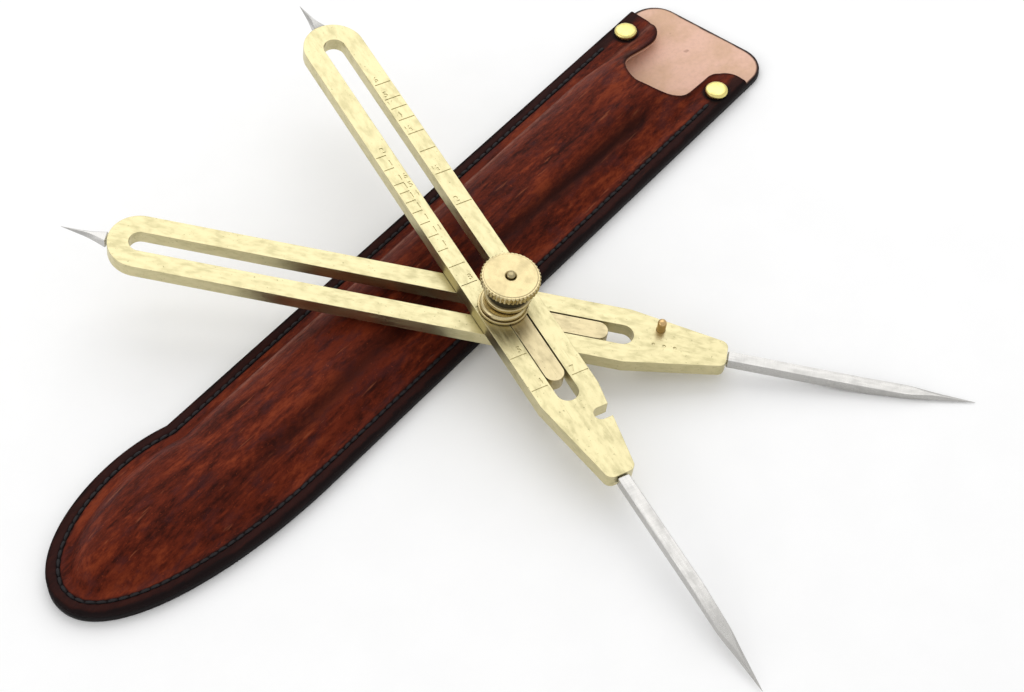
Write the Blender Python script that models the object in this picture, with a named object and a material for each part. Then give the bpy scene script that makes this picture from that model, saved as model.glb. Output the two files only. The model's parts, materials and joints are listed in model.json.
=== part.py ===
"""Proportional dividers lying open across their stitched leather sheath.

Two slotted brass legs cross at a clamped pivot that slides along both slots. Each leg carries
a long and a short steel point, and a peg on the lower leg seats in a notch of the upper leg
when the dividers close. The sheath is a flat back panel and a wet-moulded front panel, sewn
round the sides and toe and riveted at the two corners of its mouth.

Frame: origin at the centre of the sheath's flat underside, +X along the sheath towards its
mouth, +Z up. Metres.
"""

import math

import bmesh
import bpy
from mathutils import Matrix, Vector

GAP = 0.0003                    # clearance between pieces that meet
CUTTER_RUN = 0.0010             # how far a cutter runs on past the face it cuts

# Dividers: u is the distance from the short tip, v the distance across the leg
TIP_TO_TIP = 0.240
PIVOT_U = 0.117                 # where the pivot stands on both legs
LEG_WIDTH = 0.017
LEG_THICK = 0.0040
BRASS_U = (0.0123, 0.1752)      # the brass between the two steel points
TAPER_U = 0.1490                # the sides start to close in here
END_WIDTH = 0.0084
END_ROUND = 0.0022
SLOT_WIDTH = 0.0060
SLOT_U = (0.0179, 0.1507)
LEG_INNER = GAP / 2             # height of a leg's inner face from the plane between the legs
LEG_OUTER = LEG_INNER + LEG_THICK

POINT_WIDTH = 0.0032
POINT_THICK = 0.0030
POINT_RELIEF = 0.0300           # a long point thins from here, which keeps it off the table
POINT_GRIND = 0.0180            # and narrows from here
TIP_HALF = 0.00012
TANG_WIDTH = 0.0022
TANG_THICK = 0.0020
TANG_STEP = 0.00005             # length of the step from a point's tang to its full section
LONG_SOCKET_U = 0.1650
SHORT_TANG = 0.0039

PEG_U, PEG_V = 0.1573, 0.0039
PEG_RADIUS = 0.0012
PEG_HEIGHT = 0.0036             # above the lower leg's face
PEG_DEPTH = 0.0025
NOTCH_WIDTH = 0.0036

SLIDER_WIDTH = 0.0055
SLIDER_BACK = 0.0090            # from the pivot towards the short points
SLIDER_FRONT = 0.0270           # from the pivot towards the long points
STUD_RADIUS = 0.0018
STUD_HEAD_RADIUS = 0.0040
STUD_HEAD_THICK = 0.0008
STUD_PROUD = 0.0008
WASHER_THICK = 0.0008
WASHER_RADIUS = 0.0066
COLLAR_THICK = 0.0011
COLLAR_RADII = (0.0062, 0.0060, 0.0055)             # from its foot to its top
COLLAR_HEIGHTS = (0.0, 0.0006, COLLAR_THICK)
RING_BORE = 0.0039              # washer and collar are loose on the stud
RING_OFFSET = (0.0006, -0.0015, 0.0)                # and have slid to one side
NUT_TOP = 0.0111                # above the upper leg's outer face
NUT_RADIUS = 0.00775
KNURL_HEIGHT = 0.0025
NECK_RADIUS = 0.0050
NECK_HEIGHT = 0.0042
FLANGE_RADIUS = 0.00615
FLANGE_FILLET = 0.0002
EDGE_BREAK = 0.0004             # broken edge of the knurl and the stud's head

# Pose of the dividers over the sheath
PIVOT_AT = Vector((0.0010, -0.0277, 0.01446))
LOWER_BEARING = math.radians(-60.46)
UPPER_BEARING = math.radians(-111.74)
TIP_HEIGHT = 0.0005             # the plane between the legs, where the long tips meet the table

# Sheath
SHEATH_HALF_LENGTH = 0.1305
SHEATH_HALF_WIDTH = 0.0218
BACK_THICK = 0.0020
FRONT_THICK = 0.0017
FLANGE_WIDTH = 0.0060
MOUTH_FLANGE_WIDTH = 0.0081     # the flange is wider under the rivets
MOUTH_FLANGE_X = (0.0840, 0.1060)
CROWN_TOP = 0.0120
MOULD_POWER = 3.0               # how full the moulded front is
MOUTH_X = 0.1200                # end of the front panel, on the sheath's centre line
MOUTH_SKEW = 0.075              # how far the mouth leans towards the flap on the far side
LOBE_ROUND = {-1: 0.0065, 1: 0.0090}                # near and far
THUMB_CUT_WIDTH = 0.0200
THUMB_CUT_X = 0.0930            # bottom of the cut
THUMB_CUT_Y = -0.0023           # middle of the cut
FLAP_CORNER = 0.0085
TOE_TIP_Y = 0.0035              # the toe is fuller on its far side
RIVETS = {"near": (0.1093, -0.0176), "far": (0.1128, 0.0172)}
RIVET_POST_RADIUS = 0.0014
RIVET_CAP_RADIUS = 0.0033
RIVET_CAP_HEIGHT = 0.0013
RIVET_BASE_RADIUS = 0.0030
RIVET_BASE_THICK = 0.0006
SEAM_INSET = 0.0032
SEAM_END_X = 0.1030
THREAD_RADIUS = 0.0004
THREAD_GROOVE = 0.0011

TOE_STEPS = 14
SIDE_STEPS = 14
ACROSS_STEPS = 16
ROW_GATHER = 0.45               # 0 spaces the rows evenly, 1 gathers them at the two flanges

FRONT_BASE = BACK_THICK + GAP
FLANGE_TOP = FRONT_BASE + FRONT_THICK


# --- Blender helpers ---------------------------------------------------------------------------

def clear_scene():
    for old in list(bpy.data.objects):
        bpy.data.objects.remove(old, do_unlink=True)


def material(name, colour, roughness, metallic):
    made = bpy.data.materials.new(name)
    made.use_nodes = True
    shader = made.node_tree.nodes["Principled BSDF"]
    shader.inputs["Base Color"].default_value = (*colour, 1.0)
    shader.inputs["Roughness"].default_value = roughness
    shader.inputs["Metallic"].default_value = metallic
    return made


def add_object(name, data, finish=None, parent=None):
    made = bpy.data.objects.new(name, data)
    bpy.context.scene.collection.objects.link(made)
    if finish:
        data.materials.append(finish)
    made.parent = parent
    return made


def add_empty(name, matrix):
    empty = add_object(name, None)
    empty.matrix_world = matrix
    return empty


def mesh_from(bm, name, smooth=False):
    bmesh.ops.recalc_face_normals(bm, faces=bm.faces)
    mesh = bpy.data.meshes.new(name)
    bm.to_mesh(mesh)
    bm.free()
    if smooth:
        mesh.shade_smooth()
        mesh.set_sharp_from_angle(angle=math.radians(35))
    return mesh


def cut(piece, cutter):
    """Take the cutter's shape out of the piece with a Boolean that stays live."""
    cutter.hide_render = True
    cutter.display_type = "WIRE"
    trim = piece.modifiers.new(cutter.name, "BOOLEAN")
    trim.operation = "DIFFERENCE"
    trim.solver = "EXACT"
    trim.object = cutter


# --- Shape helpers -----------------------------------------------------------------------------

def arc(centre, radius, start, end, steps):
    """Points on a circle from the start angle to the end angle, in degrees."""
    points = []
    for step in range(steps + 1):
        angle = math.radians(start + (end - start) * step / steps)
        points.append((centre[0] + radius * math.cos(angle), centre[1] + radius * math.sin(angle)))
    return points


def bezier(p0, p1, p2, p3, t):
    ends = p0 * (1 - t) ** 3 + p3 * t ** 3
    return ends + p1 * (3 * t * (1 - t) ** 2) + p2 * (3 * t ** 2 * (1 - t))


def prism(outline, low, high):
    """Closed solid with the given outline, from the low height to the high one."""
    bm = bmesh.new()
    base = bm.faces.new([bm.verts.new((x, y, low)) for x, y in outline])
    grown = bmesh.ops.extrude_face_region(bm, geom=[base])["geom"]
    raised = [item for item in grown if isinstance(item, bmesh.types.BMVert)]
    bmesh.ops.translate(bm, verts=raised, vec=(0, 0, high - low))
    return mesh_from(bm, "prism")


def block(low, high):
    outline = [(low[0], low[1]), (high[0], low[1]), (high[0], high[1]), (low[0], high[1])]
    return prism(outline, low[2], high[2])


def stadium(start, end, width, low, high, steps=8):
    """Bar along X with full round ends."""
    half = width / 2
    outline = arc((end - half, 0), half, -90, 90, steps)
    outline += arc((start + half, 0), half, 90, 270, steps)
    return prism(outline, low, high)


def turned(profile, steps, bored):
    """Solid turned about Z. A bored profile is a closed loop, a plain one runs axis to axis."""
    bm = bmesh.new()
    rings = []
    for radius, height in profile:
        if radius == 0:
            rings.append([bm.verts.new((0, 0, height))])
            continue
        turn = [2 * math.pi * step / steps for step in range(steps)]
        rings.append([bm.verts.new((radius * math.cos(a), radius * math.sin(a), height)) for a in turn])
    pairs = list(zip(rings, rings[1:]))
    if bored:
        pairs.append((rings[-1], rings[0]))
    for first, second in pairs:
        for step in range(steps):
            after = (step + 1) % steps
            corners = [first[step % len(first)], first[after % len(first)]]
            corners += [second[after % len(second)], second[step % len(second)]]
            bm.faces.new(list(dict.fromkeys(corners)))
    return mesh_from(bm, "turned", smooth=True)


def tapered_bar(sections):
    """Closed solid through rectangular sections (x, half width, low z, high z)."""
    bm = bmesh.new()
    loops = []
    for x, half, low, high in sections:
        corners = ((-half, low), (half, low), (half, high), (-half, high))
        loops.append([bm.verts.new((x, y, z)) for y, z in corners])
    for first, second in zip(loops, loops[1:]):
        for side in range(4):
            after = (side + 1) % 4
            bm.faces.new((first[side], first[after], second[after], second[side]))
    bm.faces.new(loops[0])
    bm.faces.new(loops[-1])
    return mesh_from(bm, "bar")


# --- Dividers ----------------------------------------------------------------------------------

def leg_direction(bearing):
    """Unit vector along a leg towards its long tip, which comes down to the table."""
    drop = (TIP_HEIGHT - PIVOT_AT.z) / (TIP_TO_TIP - PIVOT_U)
    level = math.sqrt(1 - drop * drop)
    return Vector((level * math.cos(bearing), level * math.sin(bearing), drop))


def leg_matrix(bearing):
    """Pivot frame of a leg: X towards the long tip, Z square to the plane between the legs."""
    along = leg_direction(bearing)
    normal = leg_direction(UPPER_BEARING).cross(leg_direction(LOWER_BEARING)).normalized()
    across = normal.cross(along)
    turned_axes = Matrix((along, across, normal)).transposed().to_4x4()
    return Matrix.Translation(PIVOT_AT) @ turned_axes


def leg_outline():
    half, end_half = LEG_WIDTH / 2, END_WIDTH / 2
    start, end = BRASS_U[0] - PIVOT_U, BRASS_U[1] - PIVOT_U
    taper = TAPER_U - PIVOT_U
    outline = arc((start + half, 0), half, 90, 270, 16)
    outline.append((taper, -half))
    outline += arc((end - END_ROUND, -end_half + END_ROUND), END_ROUND, -75, 0, 4)
    outline += arc((end - END_ROUND, end_half - END_ROUND), END_ROUND, 0, 75, 4)
    outline.append((taper, half))
    return outline


def side_span(side, low, high):
    """Heights on the upper (side 1) or the lower (side -1) side of the middle plane."""
    return (low, high) if side > 0 else (-high, -low)


def make_leg(name, side, frame, finish):
    low, high = side_span(side, LEG_INNER, LEG_OUTER)
    leg = add_object(name, prism(leg_outline(), low, high), finish, frame)
    slot = stadium(SLOT_U[0] - PIVOT_U, SLOT_U[1] - PIVOT_U, SLOT_WIDTH, low - CUTTER_RUN,
                   high + CUTTER_RUN)
    cut(leg, add_object(name + "_slot_cutter", slot, None, frame))
    middle = side * (LEG_INNER + LEG_OUTER) / 2
    half_w, half_t = TANG_WIDTH / 2 + GAP, TANG_THICK / 2 + GAP
    inner = LONG_SOCKET_U - PIVOT_U - GAP
    outer = BRASS_U[1] - PIVOT_U + CUTTER_RUN
    long_socket = block((inner, -half_w, middle - half_t), (outer, half_w, middle + half_t))
    cut(leg, add_object(name + "_long_socket_cutter", long_socket, None, frame))
    outer = BRASS_U[0] - PIVOT_U - CUTTER_RUN
    inner = BRASS_U[0] - PIVOT_U + SHORT_TANG + GAP
    short_socket = block((outer, -half_w, middle - half_t), (inner, half_w, middle + half_t))
    cut(leg, add_object(name + "_short_socket_cutter", short_socket, None, frame))
    return leg


def point_sections(side, far_tip, shoulder, tang_end, grind):
    """Sections from the tang to the tip. The ground end leans to the plane between the legs."""
    middle = side * (LEG_INNER + LEG_OUTER) / 2
    inner, outer = sorted((middle - POINT_THICK / 2, middle + POINT_THICK / 2), key=abs)
    away = 1 if far_tip > shoulder else -1
    tang_half, half = TANG_THICK / 2, POINT_WIDTH / 2
    body = (half, min(inner, outer), max(inner, outer))
    tip_z = side * (LEG_INNER + TIP_HALF)
    tang = (TANG_WIDTH / 2, middle - tang_half, middle + tang_half)
    sections = [(tang_end, *tang), (shoulder - away * TANG_STEP, *tang), (shoulder, *body)]
    if abs(far_tip - shoulder) > POINT_RELIEF:
        kept = grind / POINT_RELIEF
        ends = (tip_z - TIP_HALF, tip_z + TIP_HALF)
        relieved = [end + (full - end) * kept for full, end in zip(body[1:], ends)]
        sections.append((far_tip - away * POINT_RELIEF, *body))
        sections.append((far_tip - away * grind, half, *relieved))
    sections.append((far_tip, TIP_HALF, tip_z - TIP_HALF, tip_z + TIP_HALF))
    return [(x - PIVOT_U, *rest) for x, *rest in sections]


def make_points(prefix, side, frame, finish):
    long_shoulder = BRASS_U[1] + GAP
    tang_end = LONG_SOCKET_U
    sections = point_sections(side, TIP_TO_TIP, long_shoulder, tang_end, POINT_GRIND)
    add_object(prefix + "_long_point", tapered_bar(sections), finish, frame)
    short_shoulder = BRASS_U[0] - GAP
    sections = point_sections(side, 0.0, short_shoulder, BRASS_U[0] + SHORT_TANG, short_shoulder)
    add_object(prefix + "_short_point", tapered_bar(sections), finish, frame)


def make_slider(name, side, frame, finish):
    low, high = side_span(side, LEG_INNER, LEG_OUTER)
    bar = stadium(-SLIDER_BACK, SLIDER_FRONT, SLIDER_WIDTH, low, high)
    slider = add_object(name, bar, finish, frame)
    bore = turned(plug_profile(STUD_RADIUS + GAP, low - CUTTER_RUN, high + CUTTER_RUN), 16, False)
    cut(slider, add_object(name + "_bore_cutter", bore, None, frame))


def plug_profile(radius, low, high):
    return [(0, high), (radius, high), (radius, low), (0, low)]


def make_peg_and_seats(lower_leg, upper_leg, lower_frame, upper_frame, finish):
    x = PEG_U - PIVOT_U
    top, foot = PEG_HEIGHT - LEG_INNER, -LEG_INNER - PEG_DEPTH
    dome = [(0, top), (PEG_RADIUS * 0.6, top - 0.0001), (PEG_RADIUS, top - 0.0005)]
    peg = add_object("closing_peg", turned(dome + [(PEG_RADIUS, foot), (0, foot)], 16, False), finish,
                     lower_frame)
    peg.location = (x, PEG_V, 0)
    hole = turned(plug_profile(PEG_RADIUS + GAP, foot - GAP, CUTTER_RUN), 16, False)
    hole_cutter = add_object("peg_hole_cutter", hole, None, lower_frame)
    hole_cutter.location = (x, PEG_V, 0)
    cut(lower_leg, hole_cutter)
    half = NOTCH_WIDTH / 2
    floor = PEG_V - PEG_RADIUS - GAP + half
    outline = arc((0, floor), half, 180, 360, 6) + [(half, LEG_WIDTH), (-half, LEG_WIDTH)]
    notch = add_object("notch_cutter", prism(outline, -CUTTER_RUN, LEG_OUTER + CUTTER_RUN),
                       None, upper_frame)
    notch.location = (x, 0, 0)
    cut(upper_leg, notch)


def make_clamp(frame, brass, dark_brass):
    """Stud, friction washer, collar and knurled nut, stacked on the pivot axis."""
    head_top = -LEG_OUTER - GAP
    head_low = head_top - STUD_HEAD_THICK
    nut_top = LEG_OUTER + NUT_TOP
    stud_top = nut_top + STUD_PROUD
    stud = [(0, stud_top), (STUD_RADIUS * 0.7, stud_top - 0.0001), (STUD_RADIUS, stud_top - 0.0006),
            (STUD_RADIUS, head_top), (STUD_HEAD_RADIUS, head_top),
            (STUD_HEAD_RADIUS, head_low + EDGE_BREAK), (STUD_HEAD_RADIUS - EDGE_BREAK, head_low),
            (0, head_low)]
    add_object("pivot_stud", turned(stud, 24, False), dark_brass, frame)

    bore = STUD_RADIUS + GAP
    base = LEG_OUTER + GAP
    top = base + WASHER_THICK
    washer = [(RING_BORE, top), (WASHER_RADIUS - GAP, top), (WASHER_RADIUS, top - GAP),
              (WASHER_RADIUS, base), (RING_BORE, base)]
    ring = add_object("friction_washer", turned(washer, 32, True), brass, frame)
    ring.location = RING_OFFSET

    base = top + GAP
    collar = [(radius, base + height) for radius, height in zip(COLLAR_RADII, COLLAR_HEIGHTS)]
    collar = [(RING_BORE, base)] + collar + [(RING_BORE, base + COLLAR_THICK)]
    ring = add_object("clamp_collar", turned(collar[::-1], 32, True), brass, frame)
    ring.location = RING_OFFSET

    base += COLLAR_THICK + GAP
    knurl_low = nut_top - KNURL_HEIGHT
    flange_top = knurl_low - NECK_HEIGHT
    nut = [(bore, nut_top), (NUT_RADIUS - EDGE_BREAK, nut_top), (NUT_RADIUS, nut_top - EDGE_BREAK),
           (NUT_RADIUS, knurl_low + EDGE_BREAK), (NUT_RADIUS - EDGE_BREAK, knurl_low),
           (NECK_RADIUS, knurl_low), (NECK_RADIUS, flange_top),
           (FLANGE_RADIUS, flange_top - FLANGE_FILLET), (FLANGE_RADIUS, base + FLANGE_FILLET),
           (FLANGE_RADIUS - FLANGE_FILLET, base), (bore, base)]
    add_object("thumb_nut", turned(nut, 48, True), brass, frame)


def make_dividers(brass, dark_brass, steel, copper):
    lower_frame = add_empty("lower_leg_frame", leg_matrix(LOWER_BEARING))
    upper_frame = add_empty("upper_leg_frame", leg_matrix(UPPER_BEARING))
    lower_leg = make_leg("lower_leg", -1, lower_frame, brass)
    upper_leg = make_leg("upper_leg", 1, upper_frame, brass)
    make_peg_and_seats(lower_leg, upper_leg, lower_frame, upper_frame, copper)
    make_points("lower", -1, lower_frame, steel)
    make_points("upper", 1, upper_frame, steel)
    make_slider("lower_slider", -1, lower_frame, brass)
    make_slider("upper_slider", 1, upper_frame, brass)
    make_clamp(upper_frame, brass, dark_brass)


# --- Sheath ------------------------------------------------------------------------------------

def toe_curves():
    """Near and far curves of the toe, each from the straight side round to the toe's tip."""
    tip = Vector((-SHEATH_HALF_LENGTH, TOE_TIP_Y))
    near = [Vector((-0.0610, -SHEATH_HALF_WIDTH)), Vector((-0.0970, -SHEATH_HALF_WIDTH)),
            Vector((-SHEATH_HALF_LENGTH, -0.0125)), tip]
    far = [Vector((-0.0750, SHEATH_HALF_WIDTH)), Vector((-0.0960, 0.0292)),
           Vector((-SHEATH_HALF_LENGTH, 0.0213)), tip]
    return near, far


def side_stations(end_x, skew=0.0):
    """Matching points on the near and the far edge, from the toe's tip to a line at end_x."""
    near, far = toe_curves()
    stations = []
    for step in range(TOE_STEPS, 0, -1):
        t = step / TOE_STEPS
        stations.append((bezier(*near, t), bezier(*far, t)))
    near_end = Vector((end_x + skew * near[0].y, near[0].y))
    far_end = Vector((end_x + skew * far[0].y, far[0].y))
    for step in range(SIDE_STEPS + 1):
        t = step / SIDE_STEPS
        stations.append((near[0].lerp(near_end, t), far[0].lerp(far_end, t)))
    return stations


def edge_line():
    """The sheath's edge as one line: near side, toe, far side. It runs on past the mouth."""
    stations = side_stations(2 * SHEATH_HALF_LENGTH)
    near_side = [pair[0] for pair in reversed(stations)]
    return near_side + [pair[1] for pair in stations[1:]]


def distance_to_line(point, line):
    nearest = math.inf
    for start, end in zip(line, line[1:]):
        along = end - start
        t = max(0.0, min(1.0, (point - start).dot(along) / along.dot(along)))
        nearest = min(nearest, (point - start - along * t).length)
    return nearest


def flange_width(x):
    start, end = MOUTH_FLANGE_X
    t = max(0.0, min(1.0, (x - start) / (end - start)))
    return FLANGE_WIDTH + (MOUTH_FLANGE_WIDTH - FLANGE_WIDTH) * t * t * (3 - 2 * t)


def front_height(point, line):
    """Top of the moulded front: a flat flange, then a full curve up to the crown."""
    flange = flange_width(point.x)
    inward = (distance_to_line(point, line) - flange) / (SHEATH_HALF_WIDTH - flange)
    rise = 1 - (1 - max(0.0, min(1.0, inward))) ** MOULD_POWER
    return FLANGE_TOP + (CROWN_TOP - FLANGE_TOP) * rise


def across_fractions():
    """Fractions across the sheath, closer together where the front rises from the flange."""
    fractions = []
    for step in range(ACROSS_STEPS + 1):
        t = step / ACROSS_STEPS
        fractions.append(t - math.sin(2 * math.pi * t) / (2 * math.pi) * ROW_GATHER)
    return fractions


def front_panel():
    """Moulded leather shell as two height fields, joined round their edge."""
    bm = bmesh.new()
    line = edge_line()
    rows = []
    for near, far in side_stations(MOUTH_X, MOUTH_SKEW):
        row = []
        for fraction in across_fractions():
            point = near.lerp(far, fraction)
            top = front_height(point, line)
            upper = bm.verts.new((point.x, point.y, top))
            row.append((upper, bm.verts.new((point.x, point.y, top - FRONT_THICK))))
            if near == far:
                break
        rows.append(row)
    for first, second in zip(rows, rows[1:]):
        for layer in (0, 1):
            add_strip(bm, [pair[layer] for pair in first], [pair[layer] for pair in second])
        for side in (0, -1):
            bm.faces.new((first[side][0], first[side][1], second[side][1], second[side][0]))
    for left, right in zip(rows[-1], rows[-1][1:]):
        bm.faces.new((left[0], left[1], right[1], right[0]))
    return mesh_from(bm, "front_panel", smooth=True)


def add_strip(bm, first, second):
    """Faces between two rows of vertices. A row of one vertex makes a fan."""
    for left in range(len(second) - 1):
        if len(first) == 1:
            bm.faces.new((first[0], second[left], second[left + 1]))
        else:
            bm.faces.new((first[left], second[left], second[left + 1], first[left + 1]))


def toe_outline():
    """Edge of the sheath from the near side's start, round the toe, to the far side's start."""
    near, far = toe_curves()
    outline = [bezier(*near, step / TOE_STEPS) for step in range(TOE_STEPS + 1)]
    outline += [bezier(*far, 1 - step / TOE_STEPS) for step in range(1, TOE_STEPS + 1)]
    return outline


def back_panel():
    """Flat panel under the whole sheath, with a flap that runs on past the front's mouth."""
    outline = [(point.x, point.y) for point in toe_outline()]
    corner_x = SHEATH_HALF_LENGTH - FLAP_CORNER
    corner_y = SHEATH_HALF_WIDTH - FLAP_CORNER
    outline += arc((corner_x, corner_y), FLAP_CORNER, 90, 0, 7)
    outline += arc((corner_x, -corner_y), FLAP_CORNER, 0, -90, 7)
    return prism(outline, 0.0, BACK_THICK)


def lobe_centre(side):
    """Centre of the rounding where the thumb cut meets the mouth, near side -1 or far side 1."""
    y = THUMB_CUT_Y + side * (THUMB_CUT_WIDTH / 2 + LOBE_ROUND[side])
    return MOUTH_X + MOUTH_SKEW * y - LOBE_ROUND[side], y


def thumb_cut():
    """U-shaped cut in the front panel, open at the mouth, with rounded lobes beside it."""
    half = THUMB_CUT_WIDTH / 2
    near, far = lobe_centre(-1), lobe_centre(1)
    past = far[0] + LOBE_ROUND[1] + CUTTER_RUN
    outline = [(past, near[1]), (past, far[1])]
    outline += arc(far, LOBE_ROUND[1], 0, -90, 6)
    outline += arc((THUMB_CUT_X + half, THUMB_CUT_Y), half, 90, 270, 12)
    outline += arc(near, LOBE_ROUND[-1], 90, 0, 5)
    return prism(outline, FRONT_BASE - CUTTER_RUN, CROWN_TOP + CUTTER_RUN)


def seam_path(inset):
    """Centre line of the stitching, a fixed distance inside the edge."""
    near_x = SEAM_END_X
    line = [Vector((near_x, -SHEATH_HALF_WIDTH))] + toe_outline()
    line.append(Vector((near_x, SHEATH_HALF_WIDTH)))
    path = []
    for place, point in enumerate(line):
        before, after = line[max(place - 1, 0)], line[min(place + 1, len(line) - 1)]
        along = (after - before).normalized()
        path.append(point + Vector((along.y, -along.x)) * inset)
    return path


def sweep(path, section):
    """Closed solid with a section of (sideways, up) points along a level path."""
    bm = bmesh.new()
    loops = []
    for place, point in enumerate(path):
        before, after = path[max(place - 1, 0)], path[min(place + 1, len(path) - 1)]
        along = (after - before).normalized()
        across = Vector((along.y, -along.x))
        places = [point + across * sideways for sideways, up in section]
        heights = [up for sideways, up in section]
        loops.append([bm.verts.new((spot.x, spot.y, up)) for spot, up in zip(places, heights)])
    for first, second in zip(loops, loops[1:]):
        for side in range(len(section)):
            after = (side + 1) % len(section)
            bm.faces.new((first[side], first[after], second[after], second[side]))
    bm.faces.new(loops[0])
    bm.faces.new(loops[-1])
    return mesh_from(bm, "sweep")


def make_rivet(label, front, back, brass):
    """Two-part rivet: a domed cap on the front and a post with a base sunk in the back."""
    cap_base = FLANGE_TOP + GAP
    cap_top = cap_base + RIVET_CAP_HEIGHT
    socket = cap_base + 0.0006
    inner = RIVET_POST_RADIUS + GAP
    cap = [(0, cap_top), (RIVET_CAP_RADIUS * 0.55, cap_top - 0.0002),
           (RIVET_CAP_RADIUS * 0.88, cap_top - 0.0006), (RIVET_CAP_RADIUS, cap_base + 0.0003),
           (RIVET_CAP_RADIUS, cap_base), (inner, cap_base), (inner, socket), (0, socket)]
    cap_piece = add_object("rivet_cap_" + label, turned(cap, 24, False), brass)
    low, post_top = GAP, socket - GAP
    base_top = low + RIVET_BASE_THICK
    post = [(0, post_top), (RIVET_POST_RADIUS, post_top), (RIVET_POST_RADIUS, base_top),
            (RIVET_BASE_RADIUS, base_top), (RIVET_BASE_RADIUS, low), (0, low)]
    post_piece = add_object("rivet_post_" + label, turned(post, 20, False), brass)
    hole_profile = plug_profile(inner, -CUTTER_RUN, FLANGE_TOP + CUTTER_RUN)
    hole = add_object("rivet_hole_cutter_" + label, turned(hole_profile, 20, False))
    seat_profile = plug_profile(RIVET_BASE_RADIUS + GAP, -CUTTER_RUN, base_top + GAP)
    seat = add_object("rivet_seat_cutter_" + label, turned(seat_profile, 20, False))
    for piece in (cap_piece, post_piece, hole, seat):
        piece.location = (*RIVETS[label], 0)
    cut(front, hole)
    cut(back, hole)
    cut(back, seat)


def make_sheath(leather, inside_leather, thread, brass):
    front = add_object("sheath_front", front_panel(), leather)
    cut(front, add_object("thumb_cutter", thumb_cut()))
    back = add_object("sheath_back", back_panel(), inside_leather)
    groove_half = THREAD_GROOVE / 2
    groove = [(-groove_half, -CUTTER_RUN), (groove_half, -CUTTER_RUN), (groove_half, THREAD_GROOVE),
              (-groove_half, THREAD_GROOVE)]
    path = seam_path(SEAM_INSET)
    cut(back, add_object("groove_cutter", sweep(path, groove)))
    start, end = path[0] - Vector((GAP, 0)), path[-1] - Vector((GAP, 0))
    inner_path = [start] + path[1:-1] + [end]
    for name, middle in (("seam_thread_front", FLANGE_TOP + GAP + THREAD_RADIUS),
                         ("seam_thread_back", THREAD_GROOVE - GAP - THREAD_RADIUS)):
        ring = arc((0, middle), THREAD_RADIUS, 0, 300, 5)
        add_object(name, sweep(inner_path, ring), thread)
    for label in RIVETS:
        make_rivet(label, front, back, brass)


def main():
    clear_scene()
    brass = material("brass", (0.80, 0.66, 0.36), 0.30, 1.0)
    dark_brass = material("dark_brass", (0.62, 0.46, 0.22), 0.35, 1.0)
    copper = material("copper", (0.72, 0.40, 0.22), 0.35, 1.0)
    steel = material("steel", (0.62, 0.62, 0.63), 0.30, 1.0)
    leather = material("moulded_leather", (0.16, 0.035, 0.015), 0.45, 0.0)
    inside_leather = material("back_leather", (0.62, 0.42, 0.34), 0.80, 0.0)
    thread = material("thread", (0.02, 0.02, 0.02), 0.80, 0.0)
    make_dividers(brass, dark_brass, steel, copper)
    make_sheath(leather, inside_leather, thread, brass)


main()
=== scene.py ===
"""Finished looks for proportional dividers lying open across their stitched leather sheath.

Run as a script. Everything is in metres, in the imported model's frame: +X runs along the
sheath towards its mouth and +Z is up.
"""

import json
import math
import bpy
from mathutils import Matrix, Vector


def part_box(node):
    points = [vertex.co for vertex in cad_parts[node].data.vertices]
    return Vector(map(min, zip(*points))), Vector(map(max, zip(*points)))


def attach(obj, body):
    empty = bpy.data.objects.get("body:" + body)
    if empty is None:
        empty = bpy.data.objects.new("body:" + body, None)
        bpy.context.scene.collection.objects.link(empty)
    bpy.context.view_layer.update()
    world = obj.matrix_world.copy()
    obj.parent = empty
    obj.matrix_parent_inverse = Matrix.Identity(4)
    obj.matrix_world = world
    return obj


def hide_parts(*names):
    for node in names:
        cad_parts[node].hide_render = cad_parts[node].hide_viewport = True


bl_info = {
    "name": "Proportional Dividers and Sheath",
    "version": (1, 0, 0),
    "blender": (4, 5, 0),
    "location": "View3D > Sidebar > Dividers",
    "description": "Finished pieces for brass proportional dividers and their leather sheath",
    "category": "Object",
}

import bmesh
import bpy
import numpy as np
from bpy.props import FloatProperty, FloatVectorProperty, IntProperty, PointerProperty
from bpy.types import Operator, Panel, PropertyGroup
from mathutils import Matrix, Vector, noise

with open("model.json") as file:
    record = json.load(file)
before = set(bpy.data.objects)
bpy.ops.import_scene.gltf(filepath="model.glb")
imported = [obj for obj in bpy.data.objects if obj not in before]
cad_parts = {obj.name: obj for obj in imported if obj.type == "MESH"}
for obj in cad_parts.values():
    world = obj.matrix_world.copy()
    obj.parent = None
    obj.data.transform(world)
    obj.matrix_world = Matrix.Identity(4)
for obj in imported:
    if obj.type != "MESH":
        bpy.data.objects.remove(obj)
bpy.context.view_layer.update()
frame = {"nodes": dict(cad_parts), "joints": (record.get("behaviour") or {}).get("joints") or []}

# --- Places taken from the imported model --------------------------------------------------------

JOINTS = {joint["name"]: joint for joint in frame["joints"]}
PIVOT = Vector(JOINTS["leg_pivot"]["pos_m"])
NORMAL = Vector(JOINTS["leg_pivot"]["axis"]).normalized()


def leg_axes(travel):
    """Axes of a leg at the pivot: X towards its long tip, Z square to the plane of the legs."""
    along = Vector(JOINTS[travel]["axis"]).normalized()
    across = NORMAL.cross(along)
    axes = Matrix((along, across, NORMAL)).transposed().to_4x4()
    return Matrix.Translation(PIVOT) @ axes


def local_box(node, axes):
    """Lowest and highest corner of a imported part, measured along the given axes."""
    turned_back = axes.inverted()
    places = [turned_back @ vertex.co for vertex in frame["nodes"][node].data.vertices]
    low = Vector([min(place[axis] for place in places) for axis in range(3)])
    high = Vector([max(place[axis] for place in places) for axis in range(3)])
    return low, high


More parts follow.
